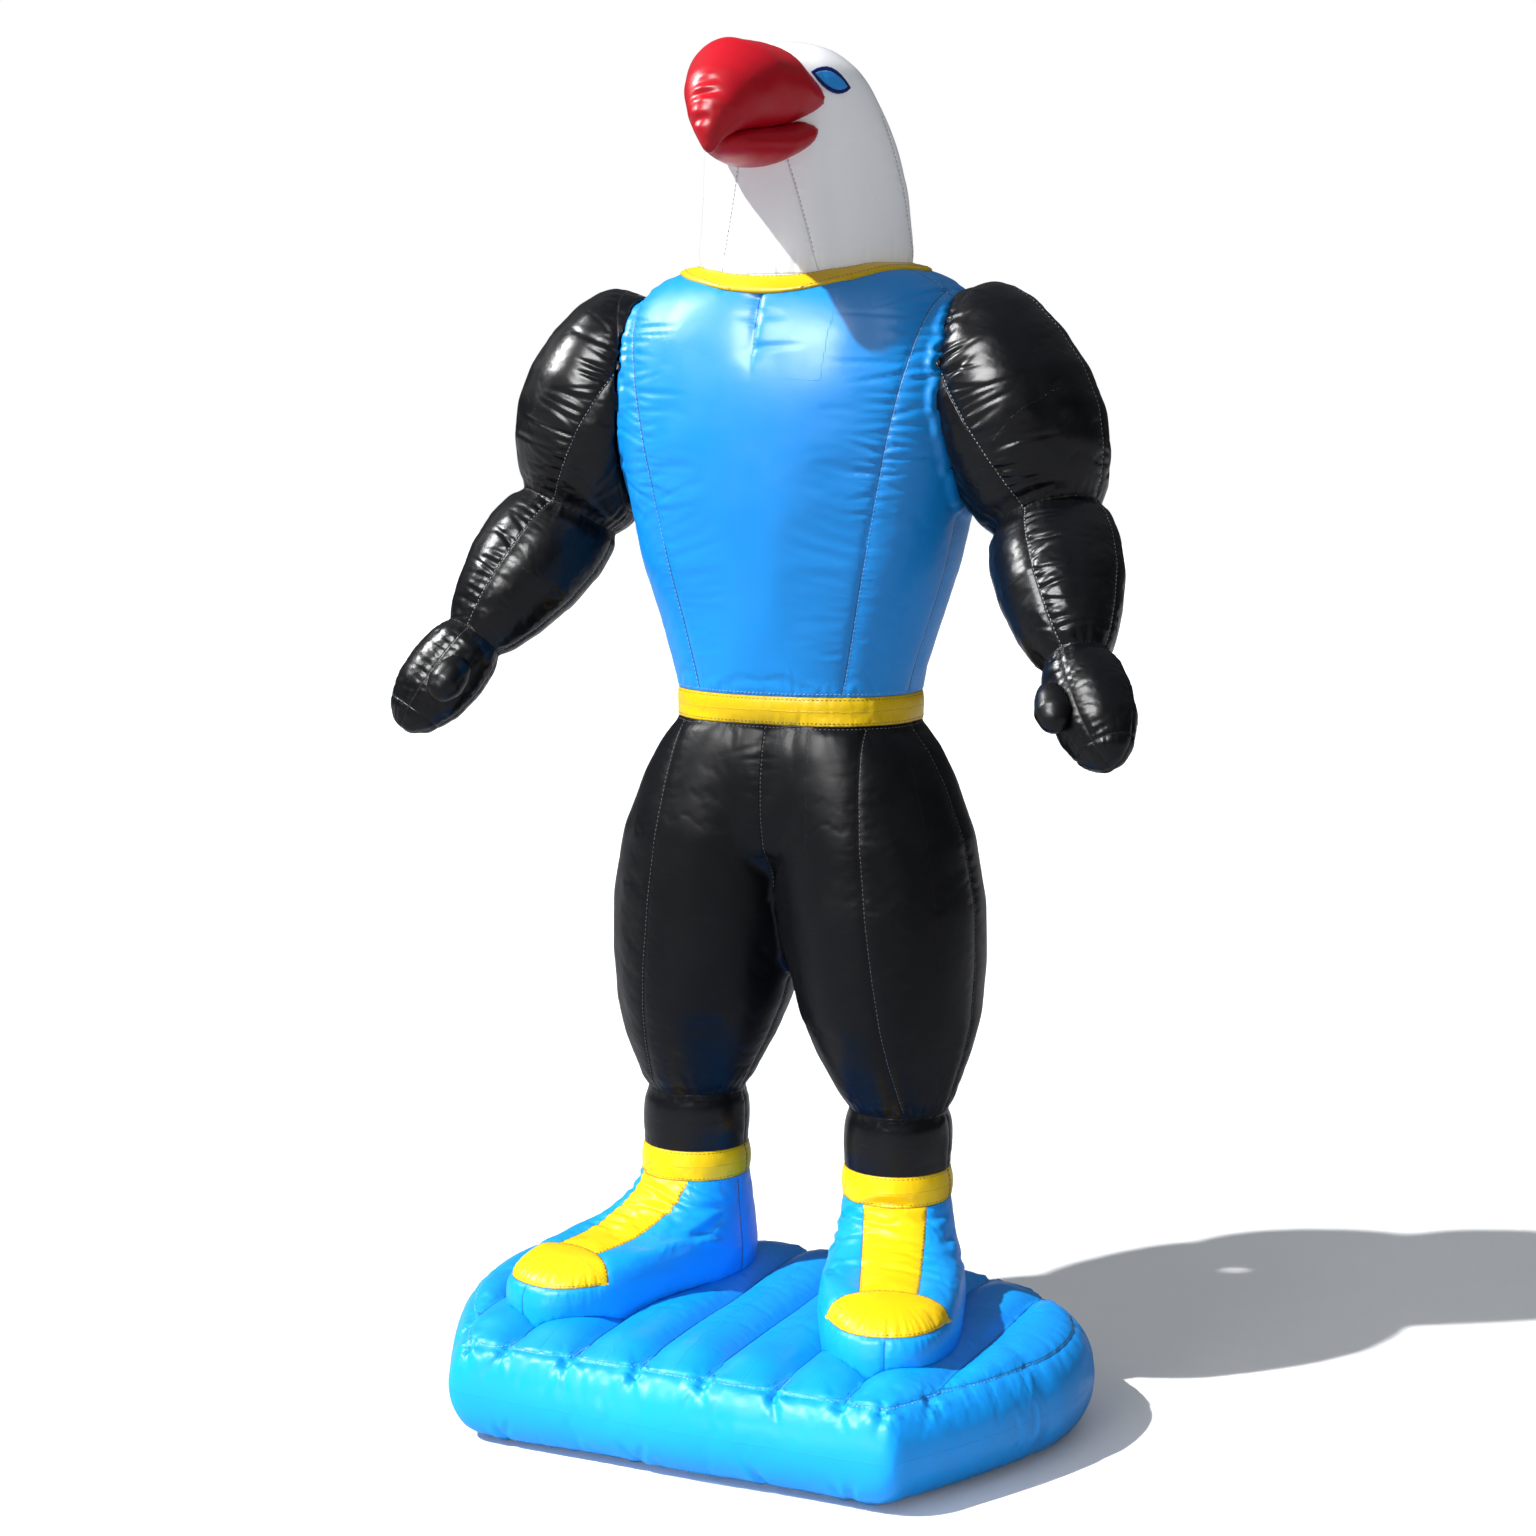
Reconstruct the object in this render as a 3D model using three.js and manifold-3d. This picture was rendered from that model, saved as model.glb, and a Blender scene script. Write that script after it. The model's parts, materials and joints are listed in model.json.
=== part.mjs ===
// An inflatable eagle figure of coated fabric that stands on an inflated plinth.
// Each sewn chamber is one filled bag with its crown, its drawn-in ends and the creases of its seams.
// Coloured panels that are sewn into a bag's skin are solids of their own, let into it.
// Units are millimetres, +Z is up, the figure looks towards -Y and its left side is at +X.
// The origin is on the floor under the middle of the plinth.

import * as THREE from "three";
import { mergeVertices } from "three/addons/utils/BufferGeometryUtils.js";
import Module from "manifold-3d";

const wasm = await Module();
wasm.setup();

// Driving dimensions

const GAP = 0.3; // between pieces that are sewn together
const PANEL = 3; // thickness of a panel that is let into a bag's skin
const FACET = 0.09; // how far a flat facet may lie from the form it stands for
const SEAM_DEPTH = 5; // how far a lengthwise seam draws a bag in
const BODY_Y = 170; // the figure stands behind the plinth's middle
const FLOOR = -12; // the plinth's underside; heights are measured from its bottom seam

const PLINTH = {
  channelPitch: 125,
  channels: 9,
  columnsPerChannel: 5,
  rows: 8,
  seamHeight: 166,
  crown: 26, // the top sheet's rise over the seam at a channel's crest
  groove: 17, // how far a sewn channel line lies below the crest
  edgeEase: 90, // distance from the seam over which the top sheet rises
  front: -375, // the top seam's straight front edge
  frontHalf: 387.5, // from the middle to a front corner
  slant: 1.82, // how fast the sides fall back behind the front corners
  back: 375, // the top seam's back edge
  backRound: 645, // half width at which the rounded back would reach the middle
};
const WAIST_TOP = 1263;
const WAIST_BOTTOM = 1213;
const KNEE = 521;
const SHIN_BOTTOM = 416;
const CUFF_BOTTOM = 362;
const LEG_X = 200;
const LEG_Y = 153;
const FOOT_SPLAY = 19; // degrees that the toes point outwards
const TONGUE = { cuffHalf: 57, capHalf: 49, back: 40, front: 330 };
const TOE_CAP = { forward: 495, radius: 200, bottom: 238 };
const NECKBAND = { width: 36, bottom: 1943 };
const EYE = { at: new THREE.Vector3(106, 47, 2302), length: 84, height: 44, slope: -16, rim: 8, reach: 60 };
const EYE_OUTWARD = new THREE.Vector3(0.8, -0.58, 0.12).normalize();

const SHOULDER = new THREE.Vector3(322, 172, 1964);
const ELBOW = new THREE.Vector3(462, 166, 1568);
const WRIST = new THREE.Vector3(571, 0, 1345);
const FINGERTIP = new THREE.Vector3(667, -105, 1181);
const THUMB = { share: 0.2, length: 92, offset: 62, towards: new THREE.Vector3(-0.6, -0.8, 0).normalize() };

// Which of a bag's sides, counted round from the figure's right, its lengthwise seams lie on
const VEST_SEAMS = [0, 6, 14, 20, 26, 34];
const HEAD_SEAMS = [5, 13, 23, 31];
const LEG_SEAMS = [4, 12, 20, 28];
const SEAT_SEAMS = [9, 27];
const ARM_SEAMS = [3, 10, 17, 24];

// Wall of the plinth from the floor to the top seam: how far it stands out from that seam
const PLINTH_WALL = [
  { z: FLOOR, out: -34 },
  { z: FLOOR + 5, out: -10 },
  { z: 6, out: 6 },
  { z: 40, out: 28 },
  { z: 84, out: 37 },
  { z: 128, out: 28 },
  { z: 156, out: 10 },
  { z: PLINTH.seamHeight, out: 0 },
];
// Sections of the upright bags, from the top down: height, centre, half width, half depth and squareness
const TORSO = [
  { z: 2004, y: 200, wide: 204, deep: 148, square: 2.2 },
  { z: 1992, y: 199, wide: 248, deep: 176, square: 2.2 },
  { z: 1968, y: 197, wide: 286, deep: 194, square: 2.3 },
  { z: 1932, y: 192, wide: 313, deep: 209, square: 2.4 },
  { z: 1880, y: 185, wide: 330, deep: 220, square: 2.4 },
  { z: 1795, y: 177, wide: 338, deep: 224, square: 2.4 },
  { z: 1700, y: 172, wide: 335, deep: 221, square: 2.4 },
  { z: 1600, y: BODY_Y, wide: 321, deep: 211, square: 2.3 },
  { z: 1490, y: BODY_Y, wide: 297, deep: 198, square: 2.3 },
  { z: 1390, y: BODY_Y, wide: 266, deep: 184, square: 2.2 },
  { z: 1310, y: BODY_Y, wide: 241, deep: 173, square: 2.2 },
  { z: WAIST_TOP, y: BODY_Y, wide: 228, deep: 166, square: 2.2 },
];
const WAISTBAND = [
  { z: WAIST_TOP - GAP, y: BODY_Y, wide: 229, deep: 167, square: 2.2 },
  { z: (WAIST_TOP + WAIST_BOTTOM) / 2, y: BODY_Y, wide: 234, deep: 171, square: 2.2 },
  { z: WAIST_BOTTOM, y: BODY_Y, wide: 226, deep: 164, square: 2.2 },
];
// Seat and front of the trousers, which fill the fork between the legs
const TROUSER_SEAT = [
  { z: WAIST_BOTTOM - GAP, y: BODY_Y, wide: 225, deep: 162 },
  { z: 1168, y: 168, wide: 257, deep: 174 },
  { z: 1110, y: 166, wide: 283, deep: 182 },
  { z: 1050, y: 165, wide: 296, deep: 181 },
  { z: 990, y: 164, wide: 282, deep: 166 },
  { z: 945, y: 164, wide: 230, deep: 126 },
  { z: 915, y: 164, wide: 120, deep: 62 },
];
const TROUSER_LEG = [
  { z: WAIST_BOTTOM - GAP, x: 92, y: BODY_Y, wide: 134, deep: 162 },
  { z: 1168, x: 103, y: 168, wide: 157, deep: 175 },
  { z: 1110, x: 117, y: 166, wide: 174, deep: 187 },
  { z: 1010, x: 143, y: 164, wide: 186, deep: 201 },
  { z: 890, x: 162, y: 163, wide: 188, deep: 205 },
  { z: 780, x: 173, y: 162, wide: 180, deep: 200 },
  { z: 690, x: 182, y: 160, wide: 164, deep: 184 },
  { z: 620, x: 189, y: 158, wide: 140, deep: 158 },
  { z: 568, x: 195, y: 156, wide: 117, deep: 131 },
  { z: 536, x: 199, y: LEG_Y, wide: 104, deep: 112 },
  { z: KNEE, x: LEG_X, y: LEG_Y, wide: 95, deep: 97 },
];
const SHIN = [
  { z: KNEE - GAP, x: LEG_X, y: LEG_Y, wide: 95, deep: 97 },
  { z: 500, x: LEG_X, y: LEG_Y, wide: 101, deep: 102 },
  { z: 450, x: LEG_X, y: LEG_Y, wide: 102, deep: 103 },
  { z: SHIN_BOTTOM, x: LEG_X, y: LEG_Y, wide: 99, deep: 100 },
];
const CUFF = [
  { z: SHIN_BOTTOM - GAP, x: LEG_X, y: LEG_Y, wide: 101, deep: 102 },
  { z: (SHIN_BOTTOM + CUFF_BOTTOM) / 2, x: LEG_X, y: LEG_Y, wide: 106, deep: 107 },
  { z: CUFF_BOTTOM, x: LEG_X, y: LEG_Y, wide: 103, deep: 104 },
];
// Sections of a boot: how far it reaches behind and before the ankle, half width and squareness
const BOOT = [
  { z: CUFF_BOTTOM - GAP, heel: 104, toe: 107, wide: 103, square: 2 },
  { z: 345, heel: 107, toe: 119, wide: 105, square: 2 },
  { z: 326, heel: 110, toe: 138, wide: 107, square: 2.1 },
  { z: 315, heel: 112, toe: 158, wide: 108, square: 2.2 },
  { z: 305, heel: 113, toe: 184, wide: 110, square: 2.2 },
  { z: 296, heel: 114, toe: 208, wide: 112, square: 2.2 },
  { z: 288, heel: 116, toe: 232, wide: 115, square: 2.3 },
  { z: 283, heel: 117, toe: 274, wide: 118, square: 2.4 },
  { z: 280, heel: 117, toe: 326, wide: 120, square: 2.4 },
  { z: 275, heel: 118, toe: 352, wide: 122, square: 2.5 },
  { z: 266, heel: 118, toe: 390, wide: 124, square: 2.5 },
  { z: 256, heel: 119, toe: 412, wide: 126, square: 2.5 },
  { z: 238, heel: 120, toe: 432, wide: 128, square: 2.6 },
  { z: 218, heel: 121, toe: 440, wide: 129, square: 2.6 },
  { z: 196, heel: 119, toe: 441, wide: 127, square: 2.6 },
  { z: 150, heel: 112, toe: 433, wide: 123, square: 2.6 },
];
// Neck and head in one bag that leans forward to a low crown
const HEAD = [
  { z: 2374, y: 94, wide: 42, deep: 46 },
  { z: 2363, y: 99, wide: 86, deep: 94 },
  { z: 2337, y: 110, wide: 118, deep: 130 },
  { z: 2310, y: 123, wide: 135, deep: 148 },
  { z: 2280, y: 138, wide: 145, deep: 159 },
  { z: 2245, y: 156, wide: 156, deep: 169 },
  { z: 2200, y: 175, wide: 167, deep: 177 },
  { z: 2130, y: 192, wide: 179, deep: 183 },
  { z: 2050, y: 196, wide: 187, deep: 182 },
  { z: 1985, y: 193, wide: 193, deep: 181 },
  { z: 1930, y: 190, wide: 194, deep: 178 },
];
// Sections of the beak from its root to its tip: pitch is how far its run dips, in degrees
const UPPER_BEAK = [
  { y: 72, z: 2258, pitch: 0, wide: 94, tall: 15 },
  { y: 22, z: 2272, pitch: -4, wide: 110, tall: 43 },
  { y: -36, z: 2288, pitch: 6, wide: 107, tall: 74 },
  { y: -95, z: 2283, pitch: 22, wide: 90, tall: 82 },
  { y: -145, z: 2258, pitch: 42, wide: 68, tall: 66 },
  { y: -180, z: 2222, pitch: 63, wide: 43, tall: 43 },
  { y: -195, z: 2193, pitch: 78, wide: 22, tall: 22 },
  { y: -200, z: 2168, pitch: 86, wide: 7, tall: 7 },
];
const LOWER_BEAK = [
  { y: 72, z: 2236, pitch: 0, wide: 88, tall: 17 },
  { y: 22, z: 2216, pitch: -2, wide: 98, tall: 42 },
  { y: -35, z: 2197, pitch: 4, wide: 85, tall: 41 },
  { y: -90, z: 2193, pitch: 8, wide: 63, tall: 34 },
  { y: -130, z: 2191, pitch: 10, wide: 35, tall: 21 },
  { y: -147, z: 2190, pitch: 10, wide: 10, tall: 8 },
];
// Sections of the arm's bags: share of the way from one joint to the next, half width and half depth
const UPPER_ARM = [
  { share: 0, wide: 40, deep: 40 },
  { share: 0.04, wide: 66, deep: 70 },
  { share: 0.13, wide: 97, deep: 104 },
  { share: 0.28, wide: 127, deep: 135 },
  { share: 0.46, wide: 149, deep: 154 },
  { share: 0.64, wide: 155, deep: 157 },
  { share: 0.8, wide: 142, deep: 143 },
  { share: 0.93, wide: 120, deep: 121 },
  { share: 1, wide: 102, deep: 103 },
];
const FOREARM = [
  { share: 0, wide: 102, deep: 103 },
  { share: 0.07, wide: 112, deep: 113 },
  { share: 0.25, wide: 119, deep: 119 },
  { share: 0.5, wide: 114, deep: 114 },
  { share: 0.75, wide: 95, deep: 95 },
  { share: 0.93, wide: 75, deep: 74 },
  { share: 1, wide: 65, deep: 63 },
];
const HAND = [
  { share: 0, wide: 64, deep: 62 },
  { share: 0.1, wide: 73, deep: 69 },
  { share: 0.35, wide: 79, deep: 71 },
  { share: 0.62, wide: 74, deep: 62 },
  { share: 0.85, wide: 55, deep: 43 },
  { share: 0.96, wide: 31, deep: 24 },
  { share: 1, wide: 11, deep: 9 },
];
const THUMB_BAG = [
  { share: 0, wide: 12, deep: 12 },
  { share: 0.1, wide: 24, deep: 24 },
  { share: 0.35, wide: 32, deep: 32 },
  { share: 0.65, wide: 33, deep: 33 },
  { share: 0.9, wide: 22, deep: 22 },
  { share: 1, wide: 9, deep: 9 },
];

// Coated fabric in the figure's colours

const vinyl = (color, roughness) => new THREE.MeshStandardMaterial({ color, roughness, metalness: 0 });
const BLUE = vinyl(0x1c84e0, 0.3);
const YELLOW = vinyl(0xf4cf07, 0.35);
const BLACK = vinyl(0x101216, 0.28);
const WHITE = vinyl(0xf2f3f5, 0.45);
const RED = vinyl(0xc21c30, 0.3);
const NAVY = vinyl(0x0b2a80, 0.35);

// Solids and meshes

// A closed three.js geometry as a solid that can be cut and joined.
function solidOf(geometry) {
  const bare = geometry.clone();
  bare.deleteAttribute("normal");
  bare.deleteAttribute("uv");
  const merged = mergeVertices(bare, 1e-3);
  return new wasm.Manifold(
    new wasm.Mesh({
      numProp: 3,
      vertProperties: new Float32Array(merged.getAttribute("position").array),
      triVerts: new Uint32Array(merged.index.array),
    }),
  );
}

// A solid as a named mesh.
function meshOf(name, solid, material) {
  const { vertProperties, triVerts } = solid.simplify(FACET).getMesh();
  const geometry = new THREE.BufferGeometry();
  geometry.setAttribute("position", new THREE.BufferAttribute(vertProperties, 3));
  geometry.setIndex(new THREE.BufferAttribute(triVerts, 1));
  geometry.computeVertexNormals();
  const mesh = new THREE.Mesh(geometry, material);
  mesh.name = name;
  return mesh;
}

// A row between the rows of a table, every column eased through its neighbours by a Catmull-Rom spline.
function rowAt(table, share) {
  const last = table.length - 1;
  const at = Math.min(share * last, last - 1e-9);
  const first = Math.floor(at);
  const [before, start, end, after] = [first - 1, first, first + 1, first + 2].map(
    (i) => table[Math.min(Math.max(i, 0), last)],
  );
  const row = {};
  for (const column of Object.keys(start)) {
    const ends = [(end[column] - before[column]) / 2, (after[column] - start[column]) / 2];
    const t = at - first;
    const rise = end[column] - start[column];
    const cubic = ends[0] + ends[1] - 2 * rise;
    row[column] = start[column] + t * (ends[0] + t * (rise - ends[0] - cubic + t * cubic));
  }
  return row;
}

// A bag: rings of points through the table's sections, closed flat across its two ends.
// frame turns a section into its centre and its two half axes, seams lists the sides that a lengthwise seam draws in.
function bag(table, frame, { sides, steps, grow = 0, seams = [] }) {
  const rings = (table.length - 1) * steps;
  const geometry = new THREE.SphereGeometry(1, sides, rings + 2);
  const points = geometry.getAttribute("position");
  const point = new THREE.Vector3();
  for (let ring = 0; ring <= rings + 2; ring++) {
    const share = THREE.MathUtils.clamp((ring - 1) / rings, 0, 1);
    const row = rowAt(table, share);
    const { centre, across, along } = frame(row);
    const end = share === 0 ? 1 : share === 1 ? -1 : 0;
    const outwards = new THREE.Vector3().crossVectors(across, along).normalize();
    const size = ring === 0 || ring === rings + 2 ? 0 : 1;
    for (let side = 0; side <= sides; side++) {
      const turn = (2 * Math.PI * side) / sides;
      const power = 2 / (row.square ?? 2);
      const [c, s] = [-Math.cos(turn), -Math.sin(turn)].map((v) => Math.sign(v) * Math.abs(v) ** power);
      const reach = size * (1 - (seams.includes(side % sides) ? SEAM_DEPTH / across.length() : 0));
      point.copy(centre).addScaledVector(outwards, end * grow);
      point.addScaledVector(across, c * reach * (1 + grow / across.length()));
      point.addScaledVector(along, s * reach * (1 + grow / along.length()));
      points.setXYZ(ring * (sides + 1) + side, point.x, point.y, point.z);
    }
  }
  return solidOf(geometry);
}

// Sections that lie level.
const level = ({ x = 0, y, z, wide, deep }) => ({
  centre: new THREE.Vector3(x, y, z),
  across: new THREE.Vector3(wide, 0, 0),
  along: new THREE.Vector3(0, deep, 0),
});

// Level sections of a boot, turned out at the ankle.
const splay = THREE.MathUtils.degToRad(FOOT_SPLAY);
const FOOT_FORWARD = new THREE.Vector3(Math.sin(splay), -Math.cos(splay), 0);
const FOOT_ASIDE = new THREE.Vector3(Math.cos(splay), Math.sin(splay), 0);
const footed = ({ z, heel, toe, wide }) => ({
  centre: new THREE.Vector3(LEG_X, LEG_Y, z).addScaledVector(FOOT_FORWARD, (toe - heel) / 2),
  across: FOOT_ASIDE.clone().multiplyScalar(wide),
  along: FOOT_FORWARD.clone().multiplyScalar(-(toe + heel) / 2),
});

// Upright sections of the beak, square to its run.
const beaked = ({ y, z, pitch, wide, tall }) => {
  const dip = THREE.MathUtils.degToRad(pitch);
  return {
    centre: new THREE.Vector3(0, y, z),
    across: new THREE.Vector3(-wide, 0, 0),
    along: new THREE.Vector3(0, -Math.sin(dip), Math.cos(dip)).multiplyScalar(tall),
  };
};

// Sections of a limb between two joints, turning from the one joint's facing to the other's.
function limb(from, to) {
  return ({ share, wide, deep }) => {
    const facing = from.facing.clone().lerp(to.facing, share).normalize();
    const across = new THREE.Vector3(0, -1, 0).cross(facing).normalize();
    const along = new THREE.Vector3().crossVectors(across, facing);
    return {
      centre: from.at.clone().lerp(to.at, share).addScaledVector(facing, from.skip * (1 - share)),
      across: across.multiplyScalar(wide),
      along: along.multiplyScalar(deep),
    };
  };
}

// A block as a solid, from its lowest to its highest corner.
function block(low, high) {
  const size = high.clone().sub(low);
  const middle = low.clone().add(high).divideScalar(2);
  return solidOf(new THREE.BoxGeometry(size.x, size.y, size.z).translate(middle.x, middle.y, middle.z));
}

// A panel let into a bag: the skin inside the cutter, and the bag with the place for it cut out.
function letIn(skin, core, coreUnderGap, cutter, cutterWithGap) {
  return { panel: skin.intersect(cutter).subtract(core), place: cutterWithGap.subtract(coreUnderGap) };
}

// The plinth

// The front and back edges of the plinth's top seam at a distance from its middle.
function plinthEdges(x) {
  const aside = Math.abs(x);
  const front = PLINTH.front + PLINTH.slant * Math.max(aside - PLINTH.frontHalf, 0);
  return { front, back: PLINTH.back * (1 - (aside / PLINTH.backRound) ** 4) };
}

// How far inside the outline a point of the top sheet lies, as a share of the ease at the edge.
function edgeShare(x, y) {
  const { front, back } = plinthEdges(x);
  const side = (PLINTH.channels * PLINTH.channelPitch) / 2 - Math.abs(x);
  const inside = Math.min(y - front, back - y, side + PLINTH.edgeEase / 6);
  return THREE.MathUtils.clamp(inside / PLINTH.edgeEase, 0, 1);
}

function makePlinth() {
  const { channelPitch, channels, columnsPerChannel, rows, seamHeight, crown, groove } = PLINTH;
  const half = (channels * channelPitch) / 2;
  const walls = PLINTH_WALL.length - 1;
  const geometry = new THREE.BoxGeometry(2, 2, walls, channels * columnsPerChannel, rows, walls);
  const points = geometry.getAttribute("position");
  for (let i = 0; i < points.count; i++) {
    const [u, v] = [points.getX(i), points.getY(i)];
    const wall = PLINTH_WALL[Math.round(points.getZ(i) + walls / 2)];
    const x = u * half;
    const { front, back } = plinthEdges(x);
    const y = THREE.MathUtils.lerp(front, back, (v + 1) / 2);
    const share = edgeShare(x, y);
    const onEdge = Math.abs(u) > 0.999 || Math.abs(v) > 0.999;
    const arch = Math.abs(Math.cos((Math.PI * x) / channelPitch)) ** 0.6;
    const swell = Math.sqrt(1 - (1 - share) ** 2);
    const top = seamHeight + swell * (crown - groove * (1 - arch));
    const out = onEdge ? wall.out : wall.out * (1 - share);
    const away = new THREE.Vector2(x, y * 1.1).normalize().multiplyScalar(onEdge ? out : 0);
    const isTop = wall === PLINTH_WALL[walls] && !onEdge;
    const inset = onEdge ? 1 : 1 + PLINTH_WALL[0].out / 560;
    const flat = wall === PLINTH_WALL[0] && !onEdge ? inset : 1;
    points.setXYZ(i, x * flat + away.x, y * flat + away.y, isTop ? top : wall.z);
  }
  return solidOf(geometry);
}

// The body

const torso = (grow) => bag(TORSO, level, { sides: 40, steps: 1, grow, seams: grow ? [] : VEST_SEAMS });
const head = (grow) => bag(HEAD, level, { sides: 36, steps: 1, grow, seams: grow ? [] : HEAD_SEAMS });
const waistband = bag(WAISTBAND, level, { sides: 40, steps: 1 });

const plinth = makePlinth();
const vest = torso(0);
const neck = head(0).subtract(torso(GAP));

function makeNeckband() {
  const { x, y, z } = new THREE.Vector3(400, 600, NECKBAND.bottom);
  const above = block(new THREE.Vector3(-x, -y, z), new THREE.Vector3(x, y, z + x));
  const collar = torso(GAP + PANEL).subtract(torso(GAP)).intersect(above);
  return collar.intersect(head(NECKBAND.width)).subtract(head(GAP));
}

// The beak and the eyes

const upperBeakBag = (grow) => bag(UPPER_BEAK, beaked, { sides: 24, steps: 1, grow });
const upperBeak = upperBeakBag(0).subtract(head(GAP));
const lowerBeak = bag(LOWER_BEAK, beaked, { sides: 20, steps: 1 }).subtract(head(GAP)).subtract(upperBeakBag(GAP));

// A prism through the eye's place with an almond outline, smaller by an inset.
function almond(inset) {
  const [half, rise] = [EYE.length / 2 - inset, EYE.height / 2 - inset];
  const outline = new THREE.Shape()
    .moveTo(-half, 0)
    .quadraticCurveTo(-half * 0.2, rise * 1.9, half, rise * 0.1)
    .quadraticCurveTo(half * 0.3, -rise * 1.9, -half, 0);
  const prism = new THREE.ExtrudeGeometry(outline, { depth: 2 * EYE.reach, bevelEnabled: false, curveSegments: 8 });
  const across = new THREE.Vector3(0, 0, 1).cross(EYE_OUTWARD).normalize();
  const up = new THREE.Vector3().crossVectors(EYE_OUTWARD, across);
  prism.translate(0, 0, -EYE.reach).rotateZ(THREE.MathUtils.degToRad(EYE.slope));
  prism.applyMatrix4(new THREE.Matrix4().makeBasis(across, up, EYE_OUTWARD).setPosition(EYE.at));
  return solidOf(prism);
}

function makeEye() {
  const patch = head(GAP + PANEL).subtract(head(GAP)).subtract(upperBeakBag(PANEL));
  const eye = patch.intersect(almond(EYE.rim));
  const rim = patch.intersect(almond(0)).subtract(almond(EYE.rim - GAP));
  return { eye, rim };
}

// The left leg, from the waistband to the plinth

function makeLeg() {
  const reach = 600;
  const ownSide = block(new THREE.Vector3(GAP / 2, -reach, 0), new THREE.Vector3(reach, reach, 3 * reach));
  const seat = bag(TROUSER_SEAT, level, { sides: 36, steps: 1, seams: SEAT_SEAMS });
  const trouser = bag(TROUSER_LEG, level, { sides: 32, steps: 1, seams: LEG_SEAMS }).add(seat).intersect(ownSide);
  const shin = bag(SHIN, level, { sides: 28, steps: 1 });
  const cuff = bag(CUFF, level, { sides: 28, steps: 1 });
  return { trouser, shin, cuff };
}

// The toe cap's upright drum and the tongue's tapering wedge, both wider by a margin.
function bootCutters(margin) {
  const { forward, radius, bottom } = TOE_CAP;
  const ankle = new THREE.Vector3(LEG_X, LEG_Y, 0);
  const tall = 300;
  const drum = new THREE.CylinderGeometry(radius + margin, radius + margin, tall, 28).rotateX(Math.PI / 2);
  const middle = ankle.clone().addScaledVector(FOOT_FORWARD, forward);
  drum.translate(middle.x, middle.y, bottom - margin + tall / 2);
  const { cuffHalf, capHalf, back, front } = TONGUE;
  const outline = new THREE.Shape()
    .moveTo(-cuffHalf - margin, back - margin)
    .lineTo(cuffHalf + margin, back - margin)
    .lineTo(capHalf + margin, front)
    .lineTo(-capHalf - margin, front);
  const wedge = new THREE.ExtrudeGeometry(outline, { depth: tall, bevelEnabled: false });
  const upright = new THREE.Matrix4().makeBasis(
    FOOT_ASIDE.clone().negate(),
    FOOT_FORWARD,
    new THREE.Vector3(0, 0, 1),
  );
  wedge.translate(0, 0, bottom).applyMatrix4(upright.setPosition(ankle));
  return { cap: solidOf(drum), tongue: solidOf(wedge) };
}

function makeBoot() {
  const boot = (grow) => bag(BOOT, footed, { sides: 32, steps: 1, grow }).translate([0, 0, grow]);
  const [skin, core, coreUnderGap] = [boot(0), boot(-PANEL), boot(-PANEL - GAP)];
  const [plain, wide] = [bootCutters(0), bootCutters(GAP)];
  const cap = letIn(skin, core, coreUnderGap, plain.cap, wide.cap);
  const tongue = letIn(skin, core, coreUnderGap, plain.tongue.subtract(wide.cap), wide.tongue);
  return {
    boot: skin.subtract(cap.place).subtract(tongue.place).subtract(plinth.translate([0, 0, GAP])),
    toeCap: cap.panel,
    tongue: tongue.panel,
  };
}

// The left arm, from the shoulder to the fingertips

function makeArm() {
  const along = (from, to) => to.clone().sub(from).normalize();
  const [upperRun, foreRun, handRun] = [along(SHOULDER, ELBOW), along(ELBOW, WRIST), along(WRIST, FINGERTIP)];
  const elbowFacing = upperRun.clone().add(foreRun).normalize();
  const wristFacing = foreRun.clone().add(handRun).normalize();
  const shoulder = { at: SHOULDER, facing: upperRun, skip: 0 };
  const elbow = { at: ELBOW, facing: elbowFacing, skip: GAP };
  const wrist = { at: WRIST, facing: wristFacing, skip: GAP };
  const fingertip = { at: FINGERTIP, facing: handRun, skip: 0 };
  const hand = (grow) => bag(HAND, limb(wrist, fingertip), { sides: 24, steps: 1, grow });
  const root = WRIST.clone().lerp(FINGERTIP, THUMB.share).addScaledVector(THUMB.towards, THUMB.offset);
  const thumbRun = handRun.clone().addScaledVector(THUMB.towards, 0.25).normalize();
  const thumbStart = { at: root, facing: thumbRun, skip: 0 };
  const thumbEnd = { at: root.clone().addScaledVector(thumbRun, THUMB.length), facing: thumbRun, skip: 0 };
  return {
    upperArm: bag(UPPER_ARM, limb(shoulder, elbow), { sides: 28, steps: 1, seams: ARM_SEAMS }).subtract(torso(GAP)),
    forearm: bag(FOREARM, limb(elbow, wrist), { sides: 28, steps: 1, seams: ARM_SEAMS }),
    hand: hand(0),
    thumb: bag(THUMB_BAG, limb(thumbStart, thumbEnd), { sides: 16, steps: 1 }).subtract(hand(GAP)),
  };
}

// The figure, its right side mirrored from its left

const figure = new THREE.Group();
figure.position.z = -FLOOR;
figure.add(
  meshOf("plinth", plinth, BLUE),
  meshOf("vest", vest, BLUE),
  meshOf("waistband", waistband, YELLOW),
  meshOf("neckband", makeNeckband(), YELLOW),
  meshOf("head", neck, WHITE),
  meshOf("beak_upper", upperBeak, RED),
  meshOf("beak_lower", lowerBeak, RED),
);

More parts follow.
